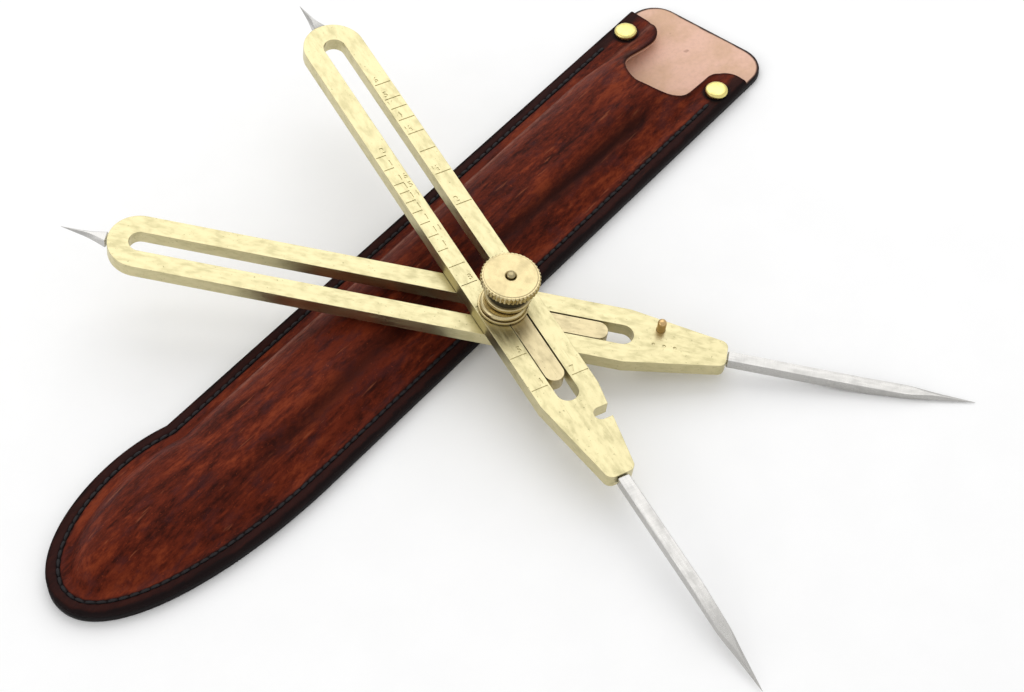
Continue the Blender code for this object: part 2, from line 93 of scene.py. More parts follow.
LOWER_AXES = leg_axes("slider_travel")
UPPER_AXES = leg_axes("upper_leg_travel")
LEG_AXES = {"lower": LOWER_AXES, "upper": UPPER_AXES}
LEG_BOX = {name: local_box(name + "_leg", axes) for name, axes in LEG_AXES.items()}
NUT_BOX = local_box("thumb_nut", UPPER_AXES)
STUD_BOX = local_box("pivot_stud", UPPER_AXES)
WASHER_BOX = local_box("friction_washer", UPPER_AXES)
COLLAR_BOX = local_box("clamp_collar", UPPER_AXES)
PEG_BOX = local_box("closing_peg", LOWER_AXES)
BACK_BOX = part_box("sheath_back")
FRONT_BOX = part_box("sheath_front")
THREAD_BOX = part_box("seam_thread_front")
CAP_BOXES = [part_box("rivet_cap_near"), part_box("rivet_cap_far")]
POST_BOXES = [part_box("rivet_post_near"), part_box("rivet_post_far")]
HALF_LENGTH = BACK_BOX[1].x
HALF_WIDTH = -BACK_BOX[0].y
TOUCH = 0.00002                 # pieces that lie on each other are this far apart


# --- Sizes and colours a user would change -----------------------------------------------------

def length(name, description, default):
    return FloatProperty(name=name, description=description, default=default, unit="LENGTH",
                         precision=5, min=0.0)


def colour(name, description, default):
    return FloatVectorProperty(name=name, description=description, default=default,
                               subtype="COLOR", size=3, min=0.0, max=1.0)


class DividersSizes(PropertyGroup):
    slot_width: length("Slot width", "Width of the slot in each leg", 0.0060)
    slot_inset: length("Slot inset", "Slot's end to the leg's short-point end", 0.0056)
    slot_end: length("Slot end", "Far end of the slot, from the pivot", 0.0337)
    taper_start: length("Taper start", "Where the leg's sides close in, from the pivot", 0.0320)
    end_width: length("End width", "Width of the leg at the long point", 0.0084)
    edge_round: length("Edge rounding", "Broken edge of the brass", 0.00022)
    scale_offset: length("Scale offset", "Index line to the pivot", 0.0036)
    tick_width: length("Tick width", "Width of a graduation", 0.00038)
    tick_depth: length("Tick depth", "Depth of a graduation", 0.00018)
    figure_height: length("Figure size", "Type size of the stamped figures", 0.0027)
    grind: length("Point grind", "Length of the ground end of a long point", 0.0180)
    relief_run: length("Point relief", "Length over which a long point thins", 0.0300)
    slider_width: length("Slider width", "Width of each slider", 0.00535)
    slider_shift: length("Slider shift", "How far each slider sits to one side", 0.00010)
    tooth_count: IntProperty(name="Knurl teeth", description="Teeth round the thumb nut",
                             default=44, min=12, max=96)
    tooth_depth: length("Knurl depth", "Depth of the knurl", 0.00045)
    knurl_height: length("Knurl height", "Height of the knurled rim", 0.0025)
    neck_height: length("Neck height", "Height of the neck under the rim", 0.0042)


class SheathSizes(PropertyGroup):
    flange: length("Flange", "Flat rim beside the moulded pocket", 0.0060)
    mouth_flange: length("Mouth flange", "Flat rim under the rivets", 0.0081)
    leather_thick: length("Leather thickness", "Thickness of the front panel", 0.0017)
    edge_round: length("Edge rounding", "Rounding of the burnished edge", 0.0008)
    thumb_cut_width: length("Thumb cut width", "Width of the cut in the mouth", 0.0200)
    thumb_cut_x: FloatProperty(name="Thumb cut bottom", description="Bottom of the cut along X",
                               default=0.0930, unit="LENGTH", precision=5)
    thumb_cut_y: FloatProperty(name="Thumb cut middle", description="Middle of the cut along Y",
                               default=-0.0023, unit="LENGTH", precision=5)
    mouth_skew: FloatProperty(name="Mouth skew", description="Slope of the mouth across the sheath",
                              default=0.075)
    near_lobe_round: length("Near lobe", "Rounding of the front's near lobe", 0.0065)
    far_lobe_round: length("Far lobe", "Rounding of the front's far lobe", 0.0090)
    flap_corner: length("Flap corner", "Corner radius of the back panel's flap", 0.0085)
    seam_inset: length("Seam inset", "Stitching to the edge", 0.0032)
    seam_groove: length("Seam groove", "Depth of the groove under the stitches", 0.00050)
    stitch_pitch: length("Stitch pitch", "One stitch to the next", 0.0027)
    stitch_width: length("Stitch width", "Width of a stitch", 0.00095)
    wrinkle: length("Wrinkle", "Height of the leather's long wrinkles", 0.00030)


class DividersFinish(PropertyGroup):
    brass: colour("Brass", "Legs", (0.62, 0.555, 0.325))
    tarnish: colour("Tarnish", "Dull patches on the brass", (0.45, 0.41, 0.22))
    nut_brass: colour("Nut brass", "Turned clamp parts", (0.59, 0.49, 0.27))
    slider_brass: colour("Slider brass", "Sliders", (0.57, 0.485, 0.29))
    rivet_brass: colour("Rivet brass", "Rivets", (0.84, 0.72, 0.26))
    steel: colour("Steel", "Points", (0.52, 0.51, 0.49))
    copper: colour("Copper", "Closing peg", (0.62, 0.42, 0.19))
    engraving: colour("Engraving", "Darkened graduations", (0.016, 0.012, 0.005))
    leather: colour("Leather", "Dyed front", (0.118, 0.0165, 0.0062))
    leather_dark: colour("Dark streaks", "Dark streaks in the leather", (0.026, 0.0048, 0.0030))
    leather_light: colour("Light streaks", "Rubbed streaks in the leather", (0.205, 0.035, 0.0110))
    edge_dye: colour("Edge dye", "Burnished edge", (0.0075, 0.0058, 0.0062))
    flesh: colour("Flesh side", "Undyed inside of the leather", (0.76, 0.49, 0.38))
    thread: colour("Thread", "Waxed thread", (0.010, 0.009, 0.010))


class DividersStage(PropertyGroup):
    camera_distance: length("Camera distance", "Camera to its target", 0.6645)
    target: FloatVectorProperty(name="Target", description="What the camera looks at",
                                default=(0.0024, -0.0287, 0.0), subtype="TRANSLATION")
    azimuth: FloatProperty(name="Azimuth", description="Direction the camera looks from",
                           default=math.radians(-51.04), subtype="ANGLE")
    elevation: FloatProperty(name="Elevation", description="Camera's height as an angle",
                             default=math.radians(50.05), subtype="ANGLE")
    roll: FloatProperty(name="Roll", description="Turn about the line of sight",
                        default=-0.0081, subtype="ANGLE")
    lens: FloatProperty(name="Lens", description="Focal length in millimetres", default=89.11)
    floor: colour("Floor", "Pale floor", (0.97, 0.97, 0.97))
    sky: FloatProperty(name="Sky", description="Strength of the even light", default=0.80, min=0.0)


# --- Mesh helpers ------------------------------------------------------------------------------

def arc(centre, radius, start, end, steps):
    """Points on a circle from the start angle to the end angle, in degrees."""
    points = []
    for step in range(steps + 1):
        angle = math.radians(start + (end - start) * step / steps)
        points.append((centre[0] + radius * math.cos(angle), centre[1] + radius * math.sin(angle)))
    return points


def mesh_from(bm, name, recalculate=True):
    if recalculate:
        bmesh.ops.recalc_face_normals(bm, faces=bm.faces)
    mesh = bpy.data.meshes.new(name)
    bm.to_mesh(mesh)
    bm.free()
    return mesh


def prism(outline, low, high):
    """Closed solid with the given outline, from the low height to the high one."""
    bm = bmesh.new()
    base = bm.faces.new([bm.verts.new((x, y, low)) for x, y in outline])
    grown = bmesh.ops.extrude_face_region(bm, geom=[base])["geom"]
    raised = [item for item in grown if isinstance(item, bmesh.types.BMVert)]
    bmesh.ops.translate(bm, verts=raised, vec=(0, 0, high - low))
    return mesh_from(bm, "prism")


def block(low, high):
    outline = [(low[0], low[1]), (high[0], low[1]), (high[0], high[1]), (low[0], high[1])]
    return prism(outline, low[2], high[2])


def stadium(start, end, width):
    """Outline of a bar along X with full round ends."""
    half, steps = width / 2, 24
    outline = arc((end - half, 0), half, -90, 90, steps)
    return outline + arc((start + half, 0), half, 90, 270, steps)


def turned(profile, steps, bored=False):
    """Solid turned about Z. A bored profile is a closed loop, a plain one runs axis to axis."""
    bm = bmesh.new()
    turns = [2 * math.pi * step / steps for step in range(steps)]
    rings = []
    for radius, height in profile:
        if radius == 0:
            rings.append([bm.verts.new((0, 0, height))])
        else:
            ring = [(radius * math.cos(turn), radius * math.sin(turn), height) for turn in turns]
            rings.append([bm.verts.new(place) for place in ring])
    pairs = list(zip(rings, rings[1:]))
    if bored:
        pairs.append((rings[-1], rings[0]))
    for first, second in pairs:
        for step in range(steps):
            after = (step + 1) % steps
            corners = [first[step % len(first)], first[after % len(first)]]
            corners += [second[after % len(second)], second[step % len(second)]]
            bm.faces.new(list(dict.fromkeys(corners)))
    return mesh_from(bm, "turned")


def rounded(profile, radius):
    """Profile with its marked corners rounded. A point is (radius, height, rounded or not)."""
    points, steps, longest_share = [], 4, 0.45
    for place, (r, z, soft) in enumerate(profile):
        if not soft:
            points.append((r, z))
            continue
        corner = Vector((r, z))
        before = Vector(profile[place - 1][:2]) - corner
        after = Vector(profile[(place + 1) % len(profile)][:2]) - corner
        reach = min(radius, before.length * longest_share, after.length * longest_share)
        start, end = corner + before.normalized() * reach, corner + after.normalized() * reach
        for step in range(steps + 1):
            t = step / steps
            point = start * (1 - t) ** 2 + corner * (2 * t * (1 - t)) + end * t ** 2
            points.append((point.x, point.y))
    return points


def section_solid(loops):
    """Closed solid through matching loops of points."""
    bm = bmesh.new()
    rings = [[bm.verts.new(place) for place in loop] for loop in loops]
    for first, second in zip(rings, rings[1:]):
        for side in range(len(first)):
            after = (side + 1) % len(first)
            bm.faces.new((first[side], first[after], second[after], second[side]))
    bm.faces.new(rings[0])
    bm.faces.new(rings[-1])
    return mesh_from(bm, "sections")


def joined(meshes):
    bm = bmesh.new()
    for mesh in meshes:
        bm.from_mesh(mesh)
        bpy.data.meshes.remove(mesh)
    return mesh_from(bm, "joined", recalculate=False)


def bench_object(mesh, name="bench"):
    """A working object, removed again before any piece is handed over."""
    made = bpy.data.objects.new(name, mesh)
    bpy.context.scene.collection.objects.link(made)
    return made


def settled(piece, *tools):
    """Plain mesh of a working object as its modifiers leave it. The working objects go."""
    depsgraph = bpy.context.evaluated_depsgraph_get()
    shown = piece.evaluated_get(depsgraph)
    mesh = bpy.data.meshes.new_from_object(shown, preserve_all_data_layers=True,
                                           depsgraph=depsgraph)
    for used in (piece, *tools):
        bpy.data.objects.remove(used, do_unlink=True)
    if not mesh.polygons:
        raise RuntimeError("a working object came out empty")
    return mesh


def carved(mesh, cutters, overlapping=False):
    """The mesh with the cutters' shapes taken out. A cutter's own parts may be overlapping."""
    piece = bench_object(mesh)
    tools = [bench_object(cutter, "cutter") for cutter in cutters]
    for tool in tools:
        trim = piece.modifiers.new("trim", "BOOLEAN")
        trim.operation = "DIFFERENCE"
        trim.solver = "EXACT"
        trim.use_self = overlapping
        trim.object = tool
    return settled(piece, *tools)


def softened(mesh, width):
    """The mesh with its sharp edges rounded over."""
    piece = bench_object(mesh)
    bevel = piece.modifiers.new("broken edges", "BEVEL")
    bevel.width = width
    bevel.segments = 3
    bevel.limit_method = "ANGLE"
    bevel.angle_limit = math.radians(35)
    return settled(piece)


def smoothed(mesh, angle=40):
    """Smooth shading that leaves large flat faces looking flat."""
    mesh.shade_smooth()
    mesh.set_sharp_from_angle(angle=math.radians(angle))
    piece = bench_object(mesh)
    weigh = piece.modifiers.new("weighted normals", "WEIGHTED_NORMAL")
    weigh.keep_sharp = True
    return settled(piece)


def add_piece(name, mesh, body, nodes, finishes, axes=None):
    """Hand a finished piece over. Its own axes stay on it as the attribute "place"."""
    places = np.empty(len(mesh.vertices) * 3, np.float32)
    mesh.vertices.foreach_get("co", places)
    mesh.attributes.new("place", "FLOAT_VECTOR", "POINT").data.foreach_set("vector", places)
    if axes:
        mesh.transform(axes)
    mesh.materials.clear()
    for finish in finishes:
        mesh.materials.append(finish)
    mesh.name = name
    piece = bpy.data.objects.new(name, mesh)
    bpy.context.scene.collection.objects.link(piece)
    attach(piece, body)
    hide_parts(*nodes)


# --- Geometry Nodes ----------------------------------------------------------------------------

def add_node(tree, kind, inputs=None, **settings):
    """Add a node, set its options, and set or link its inputs by name or number."""
    made = tree.nodes.new(kind)
    for key, value in settings.items():
        setattr(made, key, value)
    for key, value in (inputs or {}).items():
        if isinstance(value, bpy.types.NodeSocket):
            tree.links.new(value, made.inputs[key])
        else:
            made.inputs[key].default_value = value
    return made


class Recipe:
    """A geometry tree under construction, with a geometry input and the named inputs."""

    def __init__(self, name, **inputs):
        self.tree = bpy.data.node_groups.new(name, "GeometryNodeTree")
        sockets = self.tree.interface
        sockets.new_socket("Geometry", in_out="INPUT", socket_type="NodeSocketGeometry")
        for label, kind in (*inputs.items(), ("Material", "Material")):
            sockets.new_socket(label, in_out="INPUT", socket_type="NodeSocket" + kind)
        sockets.new_socket("Geometry", in_out="OUTPUT", socket_type="NodeSocketGeometry")
        self.given = self.tree.nodes.new("NodeGroupInput").outputs

    def add(self, kind, inputs=None, result=0, **settings):
        """Add a node and give its result, the first one unless another is asked for."""
        return add_node(self.tree, kind, inputs, **settings).outputs[result]

    def math(self, operation, first, second):
        return self.add("ShaderNodeMath", {0: first, 1: second}, operation=operation)

    def shape(self, name):
        """Mesh of the object that comes in under this name."""
        return self.add("GeometryNodeObjectInfo", {"Object": self.given[name]}, "Geometry")

    def done(self, geometry):
        """End the tree: realize the instances, set the material, hand out the geometry."""
        real = self.add("GeometryNodeRealizeInstances", {"Geometry": geometry})
        painted = self.add("GeometryNodeSetMaterial",
                           {"Geometry": real, "Material": self.given["Material"]})
        add_node(self.tree, "NodeGroupOutput", {"Geometry": painted})
        return self.tree


def grown(mesh, tree, values, *tools):
    """Plain mesh that a node tree makes from the given mesh and the named input values."""
    piece = bench_object(mesh)
    nodes = piece.modifiers.new(tree.name, "NODES")
    nodes.node_group = tree
    for item in tree.interface.items_tree:
        if item.item_type == "SOCKET" and item.in_out == "INPUT" and item.name in values:
            nodes[item.identifier] = values[item.name]
    result = settled(piece, *tools)
    bpy.data.node_groups.remove(tree)
    return result


def knurl_tree():
    """Teeth round a rim, added to the turned body that comes in."""
    knurl = Recipe("knurl", Tooth="Object", Count="Int", Radius="Float", Height="Float")
    given = knurl.given
    ring = knurl.add("GeometryNodeMeshCircle",
                     {"Vertices": given["Count"], "Radius": given["Radius"]})
    lift = knurl.add("ShaderNodeCombineXYZ", {"Z": given["Height"]})
    raised = knurl.add("GeometryNodeSetPosition", {"Geometry": ring, "Offset": lift})
    step = knurl.math("DIVIDE", 2 * math.pi, given["Count"])
    turn = knurl.math("MULTIPLY", knurl.add("GeometryNodeInputIndex"), step)
    facing = knurl.add("ShaderNodeCombineXYZ", {"Z": turn})
    spread = knurl.add("GeometryNodeInstanceOnPoints",
                       {"Points": raised, "Instance": knurl.shape("Tooth"), "Rotation": facing})
    both = add_node(knurl.tree, "GeometryNodeJoinGeometry", {"Geometry": given["Geometry"]})
    knurl.tree.links.new(spread, both.inputs["Geometry"])
    return knurl.done(both.outputs["Geometry"])


def stitch_tree():
    """Stitches laid end to end along the line that comes in."""
    seam = Recipe("stitches", Stitch="Object", Pitch="Float", Unevenness="Float", Seed="Int")
    given = seam.given
    line = seam.add("GeometryNodeMeshToCurve", {"Mesh": given["Geometry"]})
    spaced = seam.add("GeometryNodeResampleCurve", {"Curve": line, "Length": given["Pitch"]},
                      mode="LENGTH")
    tangent = seam.add("GeometryNodeInputTangent")
    along = seam.add("FunctionNodeAlignRotationToVector", {"Vector": tangent}, axis="X",
                     pivot_axis="Z")
    most = given["Unevenness"]
    least = seam.math("MULTIPLY", most, -1.0)
    sway = seam.add("FunctionNodeRandomValue", {"Min": least, "Max": most, "Seed": given["Seed"]},
                    1, data_type="FLOAT")
    swing = seam.add("ShaderNodeCombineXYZ", {"Z": sway})
    swung = seam.add("FunctionNodeRotateRotation", {"Rotation": along, "Rotate By": swing},
                     rotation_space="LOCAL")
    return seam.done(seam.add("GeometryNodeInstanceOnPoints",
                              {"Points": spaced, "Instance": seam.shape("Stitch"),
                               "Rotation": swung}))


def rivet_tree():
    """One rivet part set at each point that comes in."""
    rivets = Recipe("rivets", Rivet="Object")
    points = rivets.add("GeometryNodeMeshToPoints", {"Mesh": rivets.given["Geometry"]})
    return rivets.done(rivets.add("GeometryNodeInstanceOnPoints",
                                  {"Points": points, "Instance": rivets.shape("Rivet")}))


# --- Materials ---------------------------------------------------------------------------------

class Finish:
    """A material under construction, with short ways to add the nodes it is made of."""

    def __init__(self, name, base, metallic=0.0, specular=0.5, own_axes=False):
        self.material = bpy.data.materials.new(name)
        self.material.use_nodes = True
        self.tree = self.material.node_tree
        self.shader = self.tree.nodes["Principled BSDF"]
        self.shader.inputs["Metallic"].default_value = metallic
        self.shader.inputs["Specular IOR Level"].default_value = specular
        if own_axes:
            self.place = self.add("ShaderNodeAttribute", attribute_name="place").outputs["Vector"]
        else:
            self.place = self.add("ShaderNodeTexCoord").outputs["Object"]
        self.base = base
        self.roughness = None
        self.normal = None

    def add(self, kind, inputs=None, **settings):
        return add_node(self.tree, kind, inputs, **settings)

    def level(self, name):
        return self.add("ShaderNodeAttribute", attribute_name=name).outputs["Fac"]

    def stretched(self, repeats, turn=0.0):
        """The piece's coordinates turned about Z, then scaled to repeats in each metre."""
        scale = repeats if isinstance(repeats, tuple) else (repeats,) * 3
        return self.add("ShaderNodeMapping", {"Vector": self.place, "Scale": scale,
                                              "Rotation": (0.0, 0.0, turn)}).outputs["Vector"]

    def unevenness(self, vector, detail, roughness=0.55, distortion=0.0):
        made = self.add("ShaderNodeTexNoise", {"Vector": vector, "Scale": 1.0, "Detail": detail,
                                               "Roughness": roughness, "Distortion": distortion})
        return made.outputs["Fac"]

    def cloud(self, repeats, detail, roughness=0.55, distortion=0.0, turn=0.0):
        return self.unevenness(self.stretched(repeats, turn), detail, roughness, distortion)

    def between(self, value, low, high, start=0.0, end=1.0):
        """Value carried smoothly from low..high to start..end, and held past both."""
        made = self.add("ShaderNodeMapRange",
                        {"Value": value, "From Min": low, "From Max": high, "To Min": start,
                         "To Max": end}, interpolation_type="SMOOTHSTEP")
        return made.outputs["Result"]

    def total(self, first, second):
        return self.add("ShaderNodeMath", {0: first, 1: second}, operation="ADD").outputs[0]

    def product(self, first, second):
        return self.add("ShaderNodeMath", {0: first, 1: second}, operation="MULTIPLY").outputs[0]

    def mix(self, factor, first, second):
        """Two colours mixed by a factor."""
        made = self.add("ShaderNodeMix", {0: factor}, data_type="RGBA")
        for socket, value in ((made.inputs[6], first), (made.inputs[7], second)):
            if isinstance(value, bpy.types.NodeSocket):
                self.tree.links.new(value, socket)
            else:
                socket.default_value = (*value, 1.0)
        return made.outputs[2]

    def cover(self, factor, tint):
        """Lay a colour over the base by a factor."""
        self.base = self.mix(factor, self.base, tint)

    def layer(self, value, low, high, amount, tint):
        """Lay a colour over the base, up to the amount as the value goes from low to high."""
        self.cover(self.between(value, low, high, 0.0, amount), tint)

    def roughen(self, value, low, high, start, end):
        """Roughness from start to end as the value goes from low to high. Calls add up."""
        step = self.between(value, low, high, start, end)
        self.roughness = self.total(self.roughness, step) if self.roughness else step

    def emboss(self, height, distance, strength):
        """Relief on top of what is there already."""
        inputs = {"Height": height, "Distance": distance, "Strength": strength}
        if self.normal:
            inputs["Normal"] = self.normal
        self.normal = self.add("ShaderNodeBump", inputs).outputs["Normal"]

    def done(self):
        self.tree.links.new(self.base, self.shader.inputs["Base Color"])
        self.tree.links.new(self.roughness, self.shader.inputs["Roughness"])
        if self.normal:
            self.tree.links.new(self.normal, self.shader.inputs["Normal"])
        return self.material


def scaled_colour(tint, factor):
    return tuple(min(1.0, channel * factor) for channel in tint)


def hand_rubbed_brass(name, tint, tarnish):
    """Flat brass rubbed lengthwise, with dull patches, fine scratches and small pits."""
    finish = Finish(name, tint, metallic=1.0, own_axes=True)
    patches = finish.cloud((110, 260, 260), 5.0, 0.65)
    fingered = finish.cloud((330, 800, 800), 3.0, 0.6)
    rubbed = finish.cloud((45, 2600, 2600), 3.0, 0.6)
    crossed = finish.cloud((90, 2400, 2400), 2.0, turn=0.7)
    pits = finish.cloud(1500, 2.0)
    dull = finish.between(finish.total(patches, fingered), 0.80, 1.35, 0.0, 0.60)
    finish.cover(dull, tarnish)
    finish.layer(rubbed, 0.35, 0.75, 0.35, scaled_colour(tint, 1.12))
    finish.layer(crossed, 0.68, 0.74, 0.35, scaled_colour(tarnish, 0.75))
    finish.layer(pits, 0.66, 0.76, 0.6, scaled_colour(tarnish, 0.4))
    finish.roughen(dull, 0.0, 0.75, 0.33, 0.48)
    finish.roughen(rubbed, 0.3, 0.7, -0.05, 0.06)
    finish.emboss(rubbed, 0.00003, 0.45)
    finish.emboss(patches, 0.0004, 0.25)
    return finish.done()


def lathe_brass(name, tint, neck_top=0.0):
    """Turned brass: rings from the tool round its axis, and painted shade under the rim below
    neck_top.
    """
    finish = Finish(name, tint, metallic=1.0, own_axes=True)
    rings_per_metre, blend = 5200.0, 0.0002
    parts = finish.add("ShaderNodeSeparateXYZ", {"Vector": finish.place}).outputs
    flat = finish.add("ShaderNodeCombineXYZ", {"X": parts["X"], "Y": parts["Y"]}).outputs[0]
    radius = finish.add("ShaderNodeVectorMath", {0: flat}, operation="LENGTH").outputs["Value"]
    reach = finish.product(finish.total(radius, parts["Z"]), rings_per_metre)
    ringed = finish.add("ShaderNodeCombineXYZ", {"X": reach})
    rings = finish.unevenness(ringed.outputs[0], 2.0)
    patches = finish.cloud(230, 4.0, 0.6)
    # Painted shade: below neck_top and inside the flange, the neck and flange top under the knurled
    # rim are painted near black and made rougher.
    below = finish.between(parts["Z"], neck_top + blend, neck_top - blend)
    grime_and_painted_shade = finish.product(below, finish.between(radius, 0.0061, 0.0052))
    finish.layer(patches, 0.45, 0.72, 0.6, scaled_colour(tint, 0.70))
    finish.layer(rings, 0.4, 0.7, 0.3, scaled_colour(tint, 1.12))
    finish.cover(finish.product(grime_and_painted_shade, 0.92), scaled_colour(tint, 0.05))
    finish.roughen(patches, 0.3, 0.7, 0.20, 0.36)
    finish.roughen(rings, 0.3, 0.7, -0.04, 0.05)
    finish.roughness = finish.total(finish.roughness, finish.product(grime_and_painted_shade, 0.4))
    finish.emboss(rings, 0.00003, 0.5)
    return finish.done()


def dark_engraving(tint):
    """Floor of the stamped figures and graduations, filled with old dark wax."""
    finish = Finish("engraving_wax", tint, specular=0.1, own_axes=True)
    grime_and_painted_shade = finish.cloud(900, 3.0)
    finish.layer(grime_and_painted_shade, 0.35, 0.7, 1.0, scaled_colour(tint, 2.6))
    finish.roughen(grime_and_painted_shade, 0.3, 0.7, 0.55, 0.85)
    finish.emboss(grime_and_painted_shade, 0.00005, 0.5)
    return finish.done()


def ground_steel(tint):
    """Steel points: fine grinding lines across the bar, and a few dull spots."""
    finish = Finish("ground_steel", tint, metallic=1.0, own_axes=True)
    lines = finish.cloud((3200, 120, 120), 2.0)
    long_lines = finish.cloud((60, 2500, 2500), 2.0)
    spots = finish.cloud((260, 500, 500), 4.0, 0.65)
    finish.layer(spots, 0.50, 0.74, 0.35, scaled_colour(tint, 0.70))
    finish.layer(lines, 0.40, 0.72, 0.4, scaled_colour(tint, 1.15))
    finish.roughen(spots, 0.35, 0.7, 0.26, 0.36)
    finish.roughen(long_lines, 0.3, 0.7, -0.05, 0.05)
    finish.emboss(lines, 0.00002, 0.25)
    finish.emboss(long_lines, 0.00002, 0.25)
    return finish.done()


def beaten_metal(name, tint):
    """Small hammered fittings: a soft uneven polish with darker low spots."""
    finish = Finish(name, tint, metallic=1.0)
    blows = finish.cloud(420, 3.0)
    specks = finish.cloud(1900, 2.0)
    finish.layer(blows, 0.42, 0.70, 0.55, scaled_colour(tint, 0.72))
    finish.layer(specks, 0.62, 0.76, 0.5, scaled_colour(tint, 0.5))
    finish.roughen(blows, 0.3, 0.7, 0.22, 0.40)
    finish.emboss(blows, 0.00025, 0.35)
    return finish.done()


def waxed_thread(tint):
    finish = Finish("waxed_thread", tint, specular=0.2)
    twist = finish.cloud(2600, 2.0)
    finish.layer(twist, 0.35, 0.75, 1.0, scaled_colour(tint, 2.2))
    finish.roughen(twist, 0.3, 0.7, 0.50, 0.72)
    finish.emboss(twist, 0.0001, 0.5)
    return finish.done()


def dyed_leather(colours):
    """Moulded front: streaked red-brown dye, painted ridge highlight, painted valley shade, black
    edge.

    The levels "edge", "mouth" and "rivet" are distances in millimetres. "inside" is 0 on the
    grain side and 1 on the flesh side. "ridge", "valley" and "seam" run from 0 to 1.
    """
    purple, scuffed, ridge_highlight_tint = (0.052, 0.014, 0.015), (0.30, 0.090, 0.040), (0.230, 0.090, 0.062)
    rim_tint = (0.0165, 0.0062, 0.0056)
    cut_dark, cut_pale = (0.23, 0.10, 0.055), (0.36, 0.18, 0.105)
    dark = colours.leather_dark
    finish = Finish("moulded_leather", dark, specular=0.05)
    drift = finish.cloud((34, 60, 60), 3.0, 0.55, 0.3)
    streaks = finish.cloud((40, 210, 120), 5.0, 0.66, 0.5)
    fine = finish.cloud((330, 950, 600), 4.0, 0.70)
    blotches = finish.cloud((120, 260, 200), 4.0, 0.6)
    specks = finish.cloud((1300, 1900, 1900), 2.0)
    scuffs = finish.cloud((70, 700, 300), 3.0, turn=0.35)
    cells = {"Vector": finish.stretched((1500, 2100, 2100)), "Scale": 1.0}
    pores = finish.add("ShaderNodeTexVoronoi", cells).outputs["Distance"]

    tone = finish.total(finish.product(streaks, 0.62), finish.product(fine, 0.38))
    finish.layer(tone, 0.34, 0.55, 1.0, colours.leather)
    light = finish.product(finish.between(tone, 0.49, 0.62), finish.between(drift, 0.36, 0.58))
    finish.cover(light, colours.leather_light)
    finish.layer(blotches, 0.50, 0.68, 0.50, purple)
    finish.layer(scuffs, 0.66, 0.74, 0.45, scuffed)
    finish.layer(specks, 0.66, 0.74, 0.6, scaled_colour(colours.leather_light, 1.25))
    finish.layer(pores, 0.18, 0.02, 0.35, scaled_colour(dark, 0.6))

    # Painted shade: the long valleys in the moulded front are painted darker.
    finish.cover(finish.product(finish.level("valley"), 0.95), scaled_colour(dark, 0.55))
    # Painted highlight: the ridge is painted lighter and paler, broken up by the fine grain.
    ridge_highlight = finish.product(finish.level("ridge"), finish.between(fine, 0.30, 0.60, 0.25, 1.0))
    finish.cover(ridge_highlight, ridge_highlight_tint)

    edge = finish.total(finish.level("edge"), finish.between(blotches, 0.3, 0.7, -0.5, 0.5))
    finish.layer(edge, 4.4, 3.0, 0.90, rim_tint)
    finish.layer(edge, 1.1, 0.2, 0.85, colours.edge_dye)
    finish.layer(finish.level("seam"), 0.10, 0.65, 0.95, colours.edge_dye)
    # Darker ring round each rivet: partly the dented leather's own darkening, partly a painted
    # shadow of the cap.
    finish.layer(finish.level("rivet"), 1.3, 0.15, 0.92, scaled_colour(colours.edge_dye, 1.6))
    finish.layer(finish.level("mouth"), 1.3, 0.3, 0.75, scaled_colour(dark, 0.7))

    inside = finish.level("inside")
    flesh = finish.mix(finish.between(drift, 0.35, 0.65), colours.flesh,
                       scaled_colour(colours.flesh, 0.78))
    finish.layer(inside, 0.22, 0.40, 1.0, finish.mix(blotches, cut_dark, cut_pale))
    finish.layer(inside, 0.80, 0.95, 1.0, flesh)

    finish.roughen(tone, 0.3, 0.65, 0.60, 0.50)
    finish.roughen(inside, 0.2, 0.6, 0.0, 0.30)
    finish.roughen(edge, 1.5, 0.5, 0.0, 0.20)
    finish.emboss(pores, 0.00010, 0.35)
    finish.emboss(fine, 0.00016, 0.45)
    finish.emboss(blotches, 0.0004, 0.30)
    return finish.done()


def flesh_leather(colours):
    """Back panel: pale napped flesh side above, dyed grain below, and a dark burnished rim."""
    mottled, stained, rim_tint = (0.68, 0.44, 0.30), (0.36, 0.20, 0.15), (0.055, 0.026, 0.020)
    finish = Finish("flesh_leather", scaled_colour(colours.flesh, 1.06), specular=0.12)
    mottle = finish.cloud((85, 110, 110), 5.0, 0.6)
    nap = finish.cloud(900, 4.0, 0.7)
    fibres = finish.cloud((700, 2200, 2200), 3.0, turn=0.5)
    marks = finish.cloud(190, 2.0)
    streaks = finish.cloud((26, 330, 140), 5.0, 0.62, 0.25)
    finish.layer(mottle, 0.34, 0.68, 1.0, mottled)
    finish.layer(nap, 0.40, 0.75, 0.30, scaled_colour(colours.flesh, 0.72))
    finish.layer(marks, 0.70, 0.76, 0.55, stained)

    under = finish.mix(finish.between(streaks, 0.36, 0.62), colours.leather_dark, colours.leather)
    finish.layer(finish.level("inside"), 0.80, 0.95, 1.0, under)
    edge = finish.total(finish.level("edge"), finish.between(mottle, 0.3, 0.7, -0.18, 0.18))
    finish.layer(edge, 1.15, 0.55, 1.0, rim_tint)
    finish.layer(edge, 0.65, 0.20, 1.0, colours.edge_dye)
    finish.roughen(nap, 0.3, 0.7, 0.78, 0.92)
    finish.roughen(edge, 0.8, 0.2, 0.0, -0.35)
    finish.emboss(nap, 0.00018, 0.5)
    finish.emboss(fibres, 0.00008, 0.35)
    return finish.done()


def paper_floor(tint):
    finish = Finish("paper_floor", tint, specular=0.2)
    fibre = finish.cloud(60, 3.0)
    finish.layer(fibre, 0.3, 0.7, 1.0, scaled_colour(tint, 0.985))
    finish.roughen(fibre, 0.3, 0.7, 0.86, 0.94)
    return finish.done()


# --- Dividers ----------------------------------------------------------------------------------

